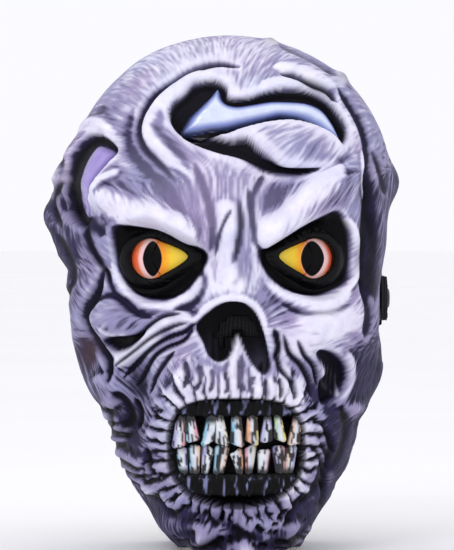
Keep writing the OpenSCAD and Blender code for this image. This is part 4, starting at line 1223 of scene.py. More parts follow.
def build_skin(materials):
    """The latex: a fine outer grid, a coarse inner one, and walls at every edge."""
    ni, nj, n = len(Z), COLUMNS + 1, COARSE
    count = ni * nj
    ci, cj = (ni - 1) // n, COLUMNS // n
    rows_c, cols_c = ci + 1, cj + 1
    pole_out, base_in = count, count + 1
    pole_in = base_in + rows_c * cols_c
    gone = open_cells(ci, cj)
    faces, mats = [], []

    def face(material, *corners):
        faces.append(corners)
        mats.append(material)

    def at(i, j):
        """The outer surface's point; above the arch the last column is the first."""
        return i * nj + (0 if i >= ARCH_ROWS and j == COLUMNS else j)

    def inn(a, b):
        return base_in + a * cols_c + (0 if a * n >= ARCH_ROWS and b == cj else b)

    def wall(i0, j0, i1, j1, material):
        """Closes the step between the fine outer edge and the coarse inner one."""
        line = [at(i0 + (i1 - i0) * k // n, j0 + (j1 - j0) * k // n) for k in range(n + 1)]
        face(material, *line[::-1], inn(i0 // n, j0 // n), inn(i1 // n, j1 // n))

    def inner_side(a):
        return PAINT_SIDE if Z[a * n, 0] < PAINTED_RIM else RAW_SIDE

    for i in range(ni - 1):
        for j in range(COLUMNS):
            if i >= ci * n or not gone[i // n, j // n]:
                face(PAINT_SIDE, at(i, j), at(i, j + 1), at(i + 1, j + 1), at(i + 1, j))
    for j in range(COLUMNS):
        face(PAINT_SIDE, at(ni - 1, j), at(ni - 1, j + 1), pole_out)
    for a in range(ci):
        for b in range(cj):
            if not gone[a, b]:
                face(inner_side(a), inn(a + 1, b), inn(a + 1, b + 1), inn(a, b + 1), inn(a, b))
    for b in range(cj):
        face(RAW_SIDE, inn(ci, b + 1), inn(ci, b), pole_in)
    for b in range(cj):
        wall(0, b * n, 0, (b + 1) * n, PAINT_SIDE)
    for a in range(ARCH_ROWS // n):
        wall((a + 1) * n, 0, a * n, 0, inner_side(a))
        wall(a * n, COLUMNS, (a + 1) * n, COLUMNS, inner_side(a))
    for a, b in np.argwhere(gone).tolist():
        i, j = a * n, b * n
        for x, y, ends in ((a - 1, b, (i, j + n, i, j)), (a + 1, b, (i + n, j, i + n, j + n)),
                           (a, b - 1, (i, j, i + n, j)), (a, b + 1, (i + n, j + n, i, j + n))):
            if 0 <= x < ci and 0 <= y < cj and not gone[x, y]:
                wall(*ends, PAINT_SIDE)
    coarse = INNER[::COARSE, ::COARSE][:rows_c, :cols_c]
    verts = np.vstack([OUTER.reshape(-1, 3), [[0, 0, HEAD_H]], coarse.reshape(-1, 3),
                       [[0, 0, HEAD_H - WALL]]])
    used = np.zeros(len(verts), bool)
    for f in faces:
        used[list(f)] = True
    order = np.cumsum(used) - 1
    faces = [tuple(int(order[v]) for v in f) for f in faces]
    obj = new_mesh("latex_skin", verts[used], faces, materials, face_material=mats)
    colour = np.tile(linear((0.02, 0.02, 0.03)), (len(verts), 1))
    colour[:count] = PAINT_AND_SHADE.reshape(-1, 3)
    colour[count] = PAINT_AND_SHADE[-1].mean(0)
    shine = np.zeros(len(verts))
    shine[:count] = np.clip(GLOSS, 0, 1).ravel()
    set_colour(obj, "paint", colour[used])
    set_number(obj, "gloss", shine[used])
    return obj


SKIN = build_skin([skin_material(), raw_latex_material()])
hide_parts(*[name for name in NODES if name.startswith("latex_")])

# ------------------------------------------------------------------ bones in the wounds


def bone_material(name, middle, edge, ink):
    s = Shader(name)
    d = s.attribute("depth").outputs["Fac"]
    streak = s.noise(140, 4, 0.6)
    face = s.ramp(d, [(0.0, rgba(*ink)), (0.16, rgba(*(0.6 * c for c in edge))),
                      (0.34, rgba(*edge)), (0.72, rgba(*middle))])
    s.colour(s.mix(remap(s, streak, 0.35, 0.7, 0, 0.22), face, rgba(*edge)))
    s.set(Roughness=0.22, Coat_Weight=0.35, Coat_Roughness=0.12)
    s.normal(s.bump(streak, 0.0009, 0.25))
    return s.mat


def bone_piece(name, corners, low, high, width, material):
    """A crowned piece in a wound, on the skin's own grid, with its edge under the wound."""
    ring = closed_spline(corners)
    d = np.full(SHAPE, -99.0)
    sel = region(U, Z, ring.min(0), ring.max(0), 3)
    d[sel] = inside_distance(U[sel], Z[sel], ring)
    d[TURN > FACE_LIMIT] = -99
    k = np.clip(d / width, 0, 1)
    ripple = 0.35 * value_noise(BASE / 5.0 + 3) + 0.15 * value_noise(BASE / 1.8)
    rise = np.where(d > 0, low + (high - low) * np.sqrt(1 - (1 - k) ** 2) + ripple * k, low - 1.2)
    upper = BASE + NORMAL * rise[..., None]
    under = BASE + NORMAL * (low - 2.2)
    keep = (d > -1.3)
    cell = keep[:-1, :-1] & keep[1:, :-1] & keep[:-1, 1:] & keep[1:, 1:]
    ids = -np.ones(SHAPE, int)
    use = np.zeros(SHAPE, bool)
    for di in (0, 1):
        for dj in (0, 1):
            use[di:SHAPE[0] - 1 + di, dj:SHAPE[1] - 1 + dj] |= cell
    ids[use] = np.arange(use.sum())
    n = int(use.sum())
    faces = []
    ii, jj = np.nonzero(cell)
    for i, j in zip(ii, jj):
        q = (ids[i, j], ids[i, j + 1], ids[i + 1, j + 1], ids[i + 1, j])
        faces.append(tuple(int(v) for v in q))
        faces.append(tuple(int(v) + n for v in q[::-1]))
        for (a, b, ok) in ((q[1], q[0], i > 0 and cell[i - 1, j]),
                           (q[3], q[2], i < cell.shape[0] - 1 and cell[i + 1, j]),
                           (q[0], q[3], j > 0 and cell[i, j - 1]),
                           (q[2], q[1], j < cell.shape[1] - 1 and cell[i, j + 1])):
            if not ok:
                faces.append((int(a), int(b), int(b) + n, int(a) + n))
    obj = new_mesh(name, np.vstack([upper[use], under[use]]), faces, [material])
    set_number(obj, "depth", np.tile(np.clip(d[use] / 6.0, 0, 1), 2))
    return obj


FOREHEAD_BONE = [(-19, 232), (-16, 239), (-12, 244), (-5, 253), (0, 259), (3, 251), (9, 248),
                 (18, 249), (29, 251), (40, 251), (50, 250), (59, 246), (65, 239), (69, 229),
                 (62, 232), (54, 237), (46, 240), (35, 241), (25, 239), (15, 237), (5, 235),
                 (-5, 234)]
TEMPLE_BONE = [(-57, 221), (-63, 225), (-69, 226), (-75, 219), (-79, 209), (-80, 198), (-78, 188),
               (-74, 184), (-70, 190), (-70, 200), (-66, 209), (-60, 216)]
bone = bone_piece("forehead_bone_inset", FOREHEAD_BONE, -6.4, -2.2, 5.5,
                  bone_material("blue_bone", (0.84, 0.87, 0.95), (0.44, 0.50, 0.76),
                                (0.05, 0.06, 0.16)))
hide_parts("forehead_bone")
bone = bone_piece("temple_bone_inset", TEMPLE_BONE, -5.4, -2.6, 4.0,
                  bone_material("violet_bone", (0.60, 0.53, 0.80), (0.42, 0.36, 0.62),
                                (0.08, 0.06, 0.14)))
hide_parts("temple_bone")

# ------------------------------------------------------------------ eyes


PUPIL_SHIFT, PUPIL_HALF_Z = 0.8, 9.7
# The iris from the ear's side to the nose's
IRIS = [(0.00, (0.90, 0.33, 0.22)), (0.12, (0.96, 0.45, 0.27)), (0.24, (0.97, 0.58, 0.38)),
        (0.54, (0.97, 0.54, 0.22)), (0.64, (1.0, 0.68, 0.20)), (0.76, (1.0, 0.84, 0.26)),
        (1.00, (1.0, 0.87, 0.34))]


def lens_material(side, pupil_half):
    """Printed film: yellow at the nose's side, coral at the ear's; the slit pupil is painted shade,
    near-black for the dark inside seen through it.
    """
    s = Shader("printed_film_left" if side < 0 else "printed_film_right")
    centre = (side * PUPIL_X * MM, (EYE_Y + SECTION_Y) * MM, (PUPIL_Z + EYE_LIFT) * MM)
    local = s.node("ShaderNodeVectorRotate", rotation_type="Z_AXIS",
                   inputs={"Center": centre, "Angle": math.radians(-side * EYE_TURN)})
    s.link(s.position(), local.inputs["Vector"])
    parts = s.node("ShaderNodeSeparateXYZ")
    s.link(local.outputs[0], parts.inputs[0])
    x = s.math("MULTIPLY", s.math("SUBTRACT", parts.outputs[0], centre[0]), -side / MM)
    z = s.math("MULTIPLY", s.math("SUBTRACT", parts.outputs[2], centre[2]), 1 / MM)
    streak = s.noise(500, 3, 0.6)
    shifted = s.math("ADD", x, s.math("MULTIPLY", s.math("SUBTRACT", streak, 0.5), 4.5))
    iris = s.ramp(remap(s, shifted, -12, 19, 0, 1), [(k, rgba(*rgb)) for k, rgb in IRIS])

    def far(value, size):
        """How far out, 1 at the pupil's edge; the power makes the pupil a slit with blunt ends."""
        return s.math("POWER", s.math("ABSOLUTE", s.math("DIVIDE", value, size)), 1.7)

    # a ramp runs from 0 to 1, so the pupil and the pale ring beside it are read at half their size
    px, pz = far(s.math("SUBTRACT", x, PUPIL_SHIFT), pupil_half), far(z, PUPIL_HALF_Z)
    half = s.math("MULTIPLY", s.math("ADD", px, pz), 0.5)
    band = s.math("MULTIPLY", s.math("ADD", far(s.math("ADD", x, PUPIL_SHIFT), pupil_half), pz), 0.5)
    ring = s.ramp(band, [(0.52, (1, 1, 1, 1)), (0.78, (0, 0, 0, 1))])
    pale = s.mix(ring, iris, rgba(0.97, 0.80, 0.80))
    # painted shade: the pupil near-black, for the dark inside seen through the slit
    dark = s.ramp(half, [(0.47, (1, 1, 1, 1)), (0.52, (0, 0, 0, 1))])
    s.colour(s.mix(dark, pale, rgba(0.015, 0.013, 0.02)))
    s.set(Roughness=0.35, Specular_IOR_Level=0.08)
    s.normal(s.bump(streak, 0.0003, 0.15))
    return s.mat


def dress(node, material):
    """Gives a CAD node a material."""
    slots = NODES[node].data.materials
    if not slots:
        slots.append(material)
    for k in range(len(slots)):
        slots[k] = material


def lens_piece(side, pupil_half):
    """Domed film whose edge lies under the lid."""
    rim = closed_spline(eye_outline(0.4, side, 40), 1.0)
    n, rings = len(rim), 14
    front, back = [], []
    for k in range(1, rings + 1):
        t = k / rings
        dome = -2.0 * (1 - t * t)
        xz = rim * t
        front.append(from_eye(np.c_[xz[:, 0], np.full(n, dome), xz[:, 1]], side))
        back.append(from_eye(np.c_[xz[:, 0], np.full(n, dome + 1.0), xz[:, 1]], side))
    tips = [from_eye(np.array([[0.0, y, 0.0]]), side) for y in (-2.0, -1.0)]
    verts = np.vstack(front + back + tips)
    half, mid = rings * n, 2 * rings * n
    faces = []
    for j in range(n):
        e = (j + 1) % n
        faces.append((mid, j, e))
        faces.append((mid + 1, half + e, half + j))
        for k in range(rings - 1):
            q = k * n
            faces.append((q + j, q + n + j, q + n + e, q + e))
            faces.append((half + q + j, half + q + e, half + q + n + e, half + q + n + j))
        last = half - n
        faces.append((last + j, half + last + j, half + last + e, last + e))
    if side > 0:
        faces = [f[::-1] for f in faces]
    name = "left" if side < 0 else "right"
    obj = new_mesh(name + "_printed_lens", verts, faces, [lens_material(side, pupil_half)])
    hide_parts(name + "_eye_lens")


lens_piece(-1, 5.4)
lens_piece(1, 6.9)

LID_POINTS = 120
# How far out from the lens, and how deep, the rolled edge of the lid runs
LID_PROFILE = [(0.3, 8.0), (-0.1, 3.0), (-0.5, 0.5), (-0.6, -2.6), (-0.2, -4.4), (0.8, -5.4),
               (2.2, -5.3), (3.4, -4.2), (4.3, -3.7), (5.3, -3.0), (6.4, -1.6), (5.0, 0.0),
               (2.2, 0.8), (1.7, 3.0), (1.7, 8.0)]


def lid(side):
    """Rolled black edge that covers the joint between the rim and the latex."""
    rings = []
    for grow, y in LID_PROFILE:
        o = closed_spline(eye_outline(grow, side, 24), 1.2)
        k = np.linspace(0, len(o), LID_POINTS, endpoint=False).astype(int)
        o = o[k]
        q = np.stack([o[:, 0], np.full(len(o), y), o[:, 1]], axis=1)
        wrinkle = value_noise(q / 2.2 + 7 * side) * 0.25
        wrinkle += value_noise(q / np.array([6, 1.1, 6])) * 0.2
        if y < -1:
            q[:, 1] -= wrinkle
        rings.append(from_eye(q, side))
    faces = ring_faces(len(rings), LID_POINTS, closed=True)
    if side > 0:
        faces = [f[::-1] for f in faces]
    name = "left" if side < 0 else "right"
    obj = new_mesh(name + "_eyelid_roll", np.vstack(rings), faces, [LID_BLACK])
    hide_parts(name + "_lens_rim")


LID_BLACK = rubber_material("painted_black_latex", 0.018, 0.34)
lid(-1)
lid(1)

# ------------------------------------------------------------------ mouth

UPPER_ARCH, LOWER_ARCH = (95.0, 8.0, 25.5), (86.0, 3.0, 22.0)


def arch_point(arch, angle, inward, z):
    a = np.radians(angle)
    r = arch[0] - inward
    return np.stack([MOUTH_X + r * np.sin(a), arch[1] - r * np.cos(a), z + 0 * a], axis=-1)


def gum_material():
    s = Shader("painted_gum")
    n = s.noise(380, 4, 0.6)
    tone = s.attribute("tone").outputs["Fac"]
    s.colour(s.ramp(s.math("ADD", tone, s.math("MULTIPLY", n, 0.25)),
                    [(0.30, rgba(0.01, 0.01, 0.015)), (0.62, rgba(0.07, 0.07, 0.10)),
                     (0.95, rgba(0.46, 0.47, 0.62))]))
    s.roughness(remap(s, n, 0.3, 0.7, 0.25, 0.45))
    s.set(Specular_IOR_Level=0.12)
    s.normal(s.bump(n, 0.0005, 0.4))
    return s.mat


def gum(name, arch, z_low, z_high, depth, teeth_below, seed):
    """Ridged gum along a dental arch, scalloped where the teeth leave it."""
    rng = np.random.default_rng(seed)
    cols, ring = 150, 24
    half = arch[2]
    ang = np.linspace(-half, half, cols)
    mid_z, half_z = (z_low + z_high) / 2, (z_high - z_low) / 2
    phase = rng.uniform(0, 6, 4)
    rows, fold_tone_and_shade = [], []
    for k in range(ring):
        t = 2 * math.pi * k / ring
        cz, cd = math.sin(t), math.cos(t)
        z = mid_z + half_z * power(np.array(cz), 0.5) * np.ones(cols)
        bulge = float(power(np.array(cd), 0.5)) * np.ones(cols)
        inward = (depth - 0.5) / 2 - ((depth + 0.5) / 2) * bulge
        front = max(cd, 0)
        teeth = np.sin(ang / half * 26 + phase[0] + 1.2 * np.sin(ang / half * 7))
        fold = value_noise(np.stack([ang * 1.1, 0.3 * z, np.full(cols, float(seed))], axis=1))
        inward = inward - front * (0.55 * teeth * 0.5 + 0.7 * fold)
        tooth_side = (cz < -0.3) if teeth_below else (cz > 0.3)
        if tooth_side:
            z = z + (1.5 * np.abs(teeth) - 0.5) * (1 if teeth_below else -1) * front
        rows.append(arch_point(arch, ang, inward, z))
        # fold crests lighter; the gum darker where it turns away from the front, as painted shade
        fold_tone_and_shade.append(np.clip(0.32 + 0.5 * fold + 0.22 * teeth, 0, 1) * (0.25 + 0.75 * front))
    obj = new_mesh(name, np.vstack(rows), ring_faces(ring, cols), [GUM])
    set_number(obj, "tone", np.concatenate(fold_tone_and_shade))
    return obj


GUM = gum_material()
g = gum("upper_gum_ridged", UPPER_ARCH, 77, 88.5, 11, True, 5)
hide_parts("upper_gum")
g = gum("lower_gum_ridged", LOWER_ARCH, 33.5, 47, 7, False, 8)
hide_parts("lower_gum")


def tooth_material():
    s = Shader("pearly_tooth")
    film_sheen_and_shade = s.attribute("film_sheen_and_shade").outputs["Color"]
    cloud = s.mix(remap(s, s.noise(180, 3), 0.35, 0.65, 0, 1), rgba(0.88, 0.90, 0.94),
                  rgba(1, 1, 1))
    s.colour(s.mix(1.0, film_sheen_and_shade, cloud, "MULTIPLY"))
    s.set(Roughness=0.22, Specular_IOR_Level=0.25, Coat_Weight=0.15, Coat_Roughness=0.05)
    s.normal(s.bump(s.noise(420, 3, 0.6), 0.0006, 0.3))
    return s.mat


def solids_of(node):
    """The separate solids of a CAD node, each as its corner points in the head's frame."""
    mesh = NODES[node].data
    pts = np.array([v.co[:] for v in mesh.vertices]) / MM
    pts[:, 1] -= SECTION_Y
    key = {}
    same = [key.setdefault(tuple(np.round(q, 2)), k) for k, q in enumerate(pts)]
    parent = list(range(len(pts)))

    def root(a):
        while parent[a] != a:
            parent[a] = parent[parent[a]]
            a = parent[a]
        return a

    for f in mesh.polygons:
        first = root(same[f.vertices[0]])
        for v in f.vertices[1:]:
            parent[root(same[v])] = first
    groups = {}
    for k in range(len(pts)):
        groups.setdefault(root(same[k]), []).append(pts[k])
    return [np.array(g) for g in groups.values()]


CYAN, MINT = (0.55, 0.84, 0.95), (0.70, 0.90, 0.62)
LAVENDER, VIOLET = (0.74, 0.70, 0.92), (0.55, 0.40, 0.75)
PINK, PEACH = (0.97, 0.62, 0.68), (0.99, 0.80, 0.66)
ORANGE, YELLOW = (0.98, 0.62, 0.28), (0.95, 0.84, 0.30)
CREAM, PEARL, TOOTH_INK_AND_SHADE = (0.98, 0.93, 0.80), (0.97, 0.98, 1.0), (0.01, 0.012, 0.025)
UPPER_FILM = [(LAVENDER, PINK), (CYAN, PINK), (CYAN, PEARL), (PEARL, CREAM), (CYAN, PEACH),
              (ORANGE, YELLOW), (LAVENDER, VIOLET), (MINT, YELLOW), (PEACH, ORANGE)]
LOWER_FILM = [(CYAN, LAVENDER), (CYAN, PEACH), (LAVENDER, PEARL), (CYAN, PEACH), (PEARL, ORANGE),
              (PINK, CREAM), (PEARL, PINK), (VIOLET, PINK), (PEACH, LAVENDER)]


MOUTH_LIFT, TOOTH_LONGER = 3.6, 1.9  # millimetres above, and longer than, the CAD teeth


def tooth_row(name, node, arch, root_up, seed, films):
    """Shard-like teeth, each narrow at the gum and wide at the bite, with a pearly film whose sheen
    and shade are painted.
    """
    rng = np.random.default_rng(seed)
    verts, faces, film_sheen_and_shade = [], [], []
    rings, around = 26, 24
    white, ink = linear(PEARL), linear(TOOTH_INK_AND_SHADE)
    solids = sorted(solids_of(node), key=lambda q: q[:, 0].mean())
    spans = [math.atan2(q[:, 0].mean() - MOUTH_X, arch[1] - q[:, 1].mean()) for q in solids]
    for number, solid in enumerate(solids):
        a = spans[number]
        tang = np.array([math.cos(a), math.sin(a)])
        outward = np.array([math.sin(a), -math.cos(a)])
        off = solid[:, :2] - np.array([MOUTH_X, arch[1]])
        lx, dep = off @ tang, off @ outward
        z_root = solid[:, 2].max() if root_up else solid[:, 2].min()
        z_tip = solid[:, 2].min() if root_up else solid[:, 2].max()
        z_tip += -TOOTH_LONGER if root_up else TOOTH_LONGER
        mid_d, half_d = (dep.min() + dep.max()) / 2, (dep.max() - dep.min()) / 2
        mid_x = (lx.min() + lx.max()) / 2
        gaps = [abs(spans[k] - a) for k in (number - 1, number + 1) if 0 <= k < len(spans)]
        room = (arch[0] - 2) * min(gaps) / 2
        bite = room * rng.uniform(1.06, 1.18)
        root = room * rng.uniform(0.52, 0.86)
        lean = rng.uniform(-0.6, 0.6) * room
        top = rng.uniform(-2.6, 2.0)
        one, two = (linear(c) for c in films[number % len(films)])
        slant = rng.uniform(-0.5, 0.5)
        for k in range(rings):
            v = k / (rings - 1)
            w = root + (bite - root) * min(1.0, v / 0.88)
            if v > 0.90:
                w *= math.sqrt(max(0.04, 1 - ((v - 0.90) / 0.105) ** 2)) * 0.55 + 0.45
            t = np.linspace(0, 2 * math.pi, around, endpoint=False)
            # a blunt hexagon, so that flat faces catch the light
            facet = np.abs(np.cos(((t + 0.4) % (math.pi / 3)) - math.pi / 6))
            hexa = 1 / np.maximum(facet, 0.5) * 0.93
            x = mid_x + lean * (1 - v) + w * np.cos(t) * hexa
            d = mid_d + half_d * (0.60 + 0.32 * v) * np.sin(t) * hexa
            if v > 0.9:
                d = mid_d + (d - mid_d) * (1 - 4.5 * (v - 0.9))
            z = z_root + (z_tip - z_root) * v + 4.0 * slant * np.cos(t) * v ** 3 + 0.5 * top * v
            xy = np.array([MOUTH_X, arch[1]]) + x[:, None] * tang + d[:, None] * outward
            ring_pts = np.c_[xy, z + MOUTH_LIFT]
            grain = 0.12 * value_noise(ring_pts / 1.4 + seed)[:, None]
            ring_pts += grain * np.append(outward, 0.0)
            verts.append(ring_pts)
            p = np.cos(t) + slant * (v - 0.5)
            # painted sheen: the film's hues follow the side each face turns to
            left, right = ease((-0.05 - p) / 0.5), ease((p - 0.15) / 0.5)
            blotch = 0.5 + 0.5 * value_noise(ring_pts / 2.3 + 7 * number)
            c = white + (one - white) * (left * (0.5 + 0.5 * blotch))[:, None]
            c = c + (two - c) * (right * (0.4 + 0.6 * blotch))[:, None]
            # painted shade: dark at the sides where the teeth meet, and near the gum
            edge = ease((np.abs(p) - 0.70) / 0.20) * 0.96
            root_shade = 0.95 * ease((0.34 - v + 0.20 * slant) / 0.24)
            cracks = value_noise(np.c_[ring_pts[:, :2] * 1.1, z * 0.16] + 13 * number)
            streak = ease((cracks - 0.02) / 0.16) * 0.97
            dark = np.clip(np.maximum(np.maximum(edge, root_shade), streak), 0, 0.98)[:, None]
            film_sheen_and_shade.append(0.80 * c * (1 - dark) + ink * dark)
        first = number * rings * around
        turn = -1 if root_up else 1
        for k in range(rings - 1):
            for j in range(around):
                low, high, e = first + k * around, first + (k + 1) * around, (j + 1) % around
                faces.append((low + j, low + e, high + e, high + j)[::turn])
        faces.append(tuple(range(first, first + around))[::-turn])
        faces.append(tuple(range(first + (rings - 1) * around, first + rings * around))[::turn])
    obj = new_mesh(name, np.vstack(verts), faces, [TOOTH])
    set_colour(obj, "film_sheen_and_shade", np.vstack(film_sheen_and_shade))
    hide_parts(node)


TOOTH = tooth_material()
tooth_row("upper_teeth_row", "upper_teeth", UPPER_ARCH, True, 21, UPPER_FILM)
tooth_row("lower_teeth_row", "lower_teeth", LOWER_ARCH, False, 33, LOWER_FILM)

# ------------------------------------------------------------------ black mesh behind the openings


def mesh_cloth_material():
    s = Shader("black_mesh_cloth")
    u = s.attribute("along").outputs["Fac"]
    v = s.attribute("wide").outputs["Fac"]
    wave = [s.math("ABSOLUTE", s.math("SINE", s.math("MULTIPLY", c, math.pi / 1.1)))
            for c in (u, v)]
    thread = s.math("MAXIMUM", wave[0], wave[1])
    s.colour(s.ramp(thread, [(0.55, rgba(0.03, 0.03, 0.035)), (0.95, rgba(0.13, 0.13, 0.14))]))
    s.set(Roughness=0.9, Specular_IOR_Level=0.1)
    s.normal(s.bump(thread, 0.0004, 0.9))
    return s.mat


MESH_CLOTH = mesh_cloth_material()


def grid_area(p):
    a = np.cross(p[1:, :-1] - p[:-1, :-1], p[:-1, 1:] - p[:-1, :-1])
    b = np.cross(p[1:, :-1] - p[1:, 1:], p[:-1, 1:] - p[1:, 1:])
    return 0.5 * (np.linalg.norm(a, axis=-1).sum() + np.linalg.norm(b, axis=-1).sum())


def cloth_piece(name, node, front, back, long_mm, wide_mm):
    verts, faces = closed_grid(front, back)
    obj = new_mesh(name, verts, faces, [MESH_CLOTH])
    rows, cols = front.shape[:2]
    u = np.repeat(np.linspace(0, wide_mm, cols)[None, :], rows, 0).ravel()
    v = np.repeat(np.linspace(0, long_mm, rows)[:, None], cols, 1).ravel()
    set_number(obj, "along", np.tile(u, 2))
    set_number(obj, "wide", np.tile(v, 2))
    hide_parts(node)
    return obj


A, ZZ = np.meshgrid(np.linspace(-MESH_ARCH[2], MESH_ARCH[2], 60), np.linspace(*MESH_Z, 60))
front, back = (arch_point(MESH_ARCH, A, inward, ZZ) for inward in (0.25, 0.85))
cloth_piece("mouth_mesh", "mouth_scrim", front, back, MESH_LONG, MESH_WIDE)

middle = Z[:, COLUMNS // 2]
rows = np.nonzero((middle > 94) & (middle < 144))[0]
cols = np.nonzero((ANGLE[rows[0]] > -17) & (ANGLE[rows[0]] < 19))[0]
glue = np.ix_(rows[::2], cols[::2])
front, back = INNER[glue] - 0.15 * NORMAL[glue], INNER[glue] - 0.75 * NORMAL[glue]
long_mm = float(np.linalg.norm(np.diff(front[:, front.shape[1] // 2], axis=0), axis=1).sum())
cloth_piece("nose_mesh", "nose_scrim", front, back, long_mm,
            float(grid_area(front)) / long_mm)

# ------------------------------------------------------------------ foam pads and canvas patches

PAD_THICK = 9.0
PATCH_ACROSS, PATCH_UP, PATCH_TURN = 14, 17, 103.5  # half sizes, and degrees from the front
FOAM = foam_material()
CANVAS = weave_material("canvas", (0.62, 0.58, 0.48), (0.86, 0.83, 0.74), 0.5, 0.5)


def skin_depth(angle, z):
    """How deep the skin's inner surface lies below the plain law at the given places."""
    deep = -((INNER - BASE) * NORMAL).sum(-1)
    row = np.abs(Z[:, COLUMNS // 2][None, None, :] - z[..., None]).argmin(-1)
    turned = (angle + 180) % 360 - 180
    col = np.abs(ANGLE[row] - turned[..., None]).argmin(-1)
    return deep[row, col]


def pad(name, node, a0, a1, z0, z1, gap):
    """Crowned foam pad glued inside the head, with pulled-in edges and rounded corners."""
    cols, rows = 60, 34
    S, T = np.meshgrid(np.linspace(-1, 1, cols), np.linspace(-1, 1, rows))
    pull = 0.045 * (S * S * T * T)
    A = (a0 + a1) / 2 + (a1 - a0) / 2 * S * (1 - pull - 0.02 * T * T)
    ZZ = (z0 + z1) / 2 + (z1 - z0) / 2 * T * (1 - pull - 0.03 * S * S)
    P, N = fitted(head_point(A, ZZ)), head_normal(A, ZZ)
    edge = np.maximum(np.abs(S) ** 6, np.abs(T) ** 6)
    crown = np.sqrt(np.clip(1 - 0.92 * np.clip(edge, 0, 1), 0, 1))
    crown *= 0.86 + 0.14 * (1 - S * S) * (1 - T * T)
    soft = 0.25 * value_noise(P / 7.0) + 0.12 * value_noise(P / 2.4)
    outer = P - np.maximum(WALL + gap, skin_depth(A, ZZ) + 0.4)[..., None] * N
    inner = P - (WALL + gap + PAD_THICK * crown + soft * crown)[..., None] * N
    verts, faces = closed_grid(outer, inner)
    obj = new_mesh(name, verts, faces, [FOAM])
    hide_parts(node)


pad("brow_foam", "brow_pad", -32, 32, 206, 232, 2.0)
pad("crown_foam", "crown_pad", 120, 240, 222, 262, 0.6)
pad("left_cheek_foam", "left_cheek_pad", -92, -58, 84, 122, 0.6)
pad("right_cheek_foam", "right_cheek_pad", 58, 92, 84, 122, 0.6)
pad("chin_foam", "chin_pad", -24, 24, 7, 21, 0.6)

for side, name in ((-1, "left"), (1, "right")):
    S, T = np.meshgrid(np.linspace(-1, 1, 36), np.linspace(-1, 1, 36))
    A = side * PATCH_TURN + 9 * S * (1 - 0.04 * T ** 4)
    ZZ = RIVET_Z + PATCH_UP * T * (1 - 0.03 * S ** 4)
    P, N = fitted(head_point(A, ZZ)), head_normal(A, ZZ)
    fray = 0.06 * value_noise(P * 1.4)[..., None]
    verts, faces = closed_grid(P - (WALL + 0.25) * N, P - (WALL + 1.35 + fray) * N)
    obj = new_mesh(name + "_canvas_patch", verts, faces, [CANVAS])
    set_number(obj, "along", np.tile((S * PATCH_ACROSS).ravel(), 2))
    set_number(obj, "wide", np.tile((T * PATCH_UP).ravel(), 2))
    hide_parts(name + "_anchor_patch")

# ------------------------------------------------------------------ strap

LEFT_X, RING_X, RING_FRONT_Y, RING_BACK_Y = -82.6, 93.0, 49.0, 62.0
STRAP_W, STRAP_T, STRAP_BACK_Y, BEND_R = 25.0, 1.5, 128.0, 26.0
SLIDER_X, SLIDER_W, MOVE_GAP, RING_WIRE = 6.0, 20.0, 0.35, 1.5
STRAP_END_Y = RIVET_Y - 11
LOOP_OFF = RING_WIRE + 0.2 + STRAP_T / 2


def corner(a, p, b, r):
    a, p, b = (np.array(v, float) for v in (a, p, b))
    d1, d2 = unit(a - p), unit(b - p)
    half = math.acos(float(d1 @ d2)) / 2
    centre = p + unit(d1 + d2) * r / math.sin(half)
    start = p + d1 * r / math.tan(half)
    way = (p - a)[0] * (b - p)[1] - (p - a)[1] * (b - p)[0]
    turn = math.pi - 2 * half if way > 0 else 2 * half - math.pi
    out = []
    for k in range(25):
        t = turn * k / 24
        v = start - centre
        out.append(centre + np.array([v[0] * math.cos(t) - v[1] * math.sin(t),
                                      v[0] * math.sin(t) + v[1] * math.cos(t)]))
    return np.array(out)


left_bend, left_turn = (LEFT_X, 80), (-56, STRAP_BACK_Y)
right_turn, right_bend = (58, STRAP_BACK_Y), (RING_X, 92)
back_middle = (SLIDER_X, STRAP_BACK_Y)
STRAP_LEFT = np.vstack([[[LEFT_X, STRAP_END_Y]],
                        corner((LEFT_X, STRAP_END_Y), left_bend, left_turn, BEND_R),
                        corner(left_bend, left_turn, back_middle, BEND_R)])
STRAP_RIGHT = np.vstack([corner(back_middle, right_turn, right_bend, BEND_R),
                         corner(right_turn, right_bend, (RING_X, RING_BACK_Y), BEND_R),
                         [[RING_X, RING_BACK_Y]]])


def dense(route, step=1.2):
    """The route with a point about every step, so that offsets and weave run evenly."""
    seg = np.linalg.norm(np.diff(route, axis=0), axis=1)
    s = np.r_[0, np.cumsum(seg)]
    keep = np.r_[True, seg > 1e-6]
    s, route = s[keep], route[keep]
    t = np.linspace(0, s[-1], max(2, int(s[-1] / step)))
    return np.stack([np.interp(t, s, route[:, 0]), np.interp(t, s, route[:, 1])], axis=1)


def beside(route, offsets):
    run = np.empty_like(route)
    run[1:-1] = route[2:] - route[:-2]
    run[0], run[-1] = route[1] - route[0], route[-1] - route[-2]
    run = unit(run)
    return route + np.stack([run[:, 1], -run[:, 0]], axis=1) * np.asarray(offsets)[:, None]


def layer_offsets(route, far):
    near = ease(1 - np.linalg.norm(route - route[-1], axis=1) / 22)
    return far + (LOOP_OFF - far) * near


WEBBING = weave_material("black_elastic_webbing", (0.018, 0.018, 0.022), (0.115, 0.115, 0.13),
                         1.0, 1.2)


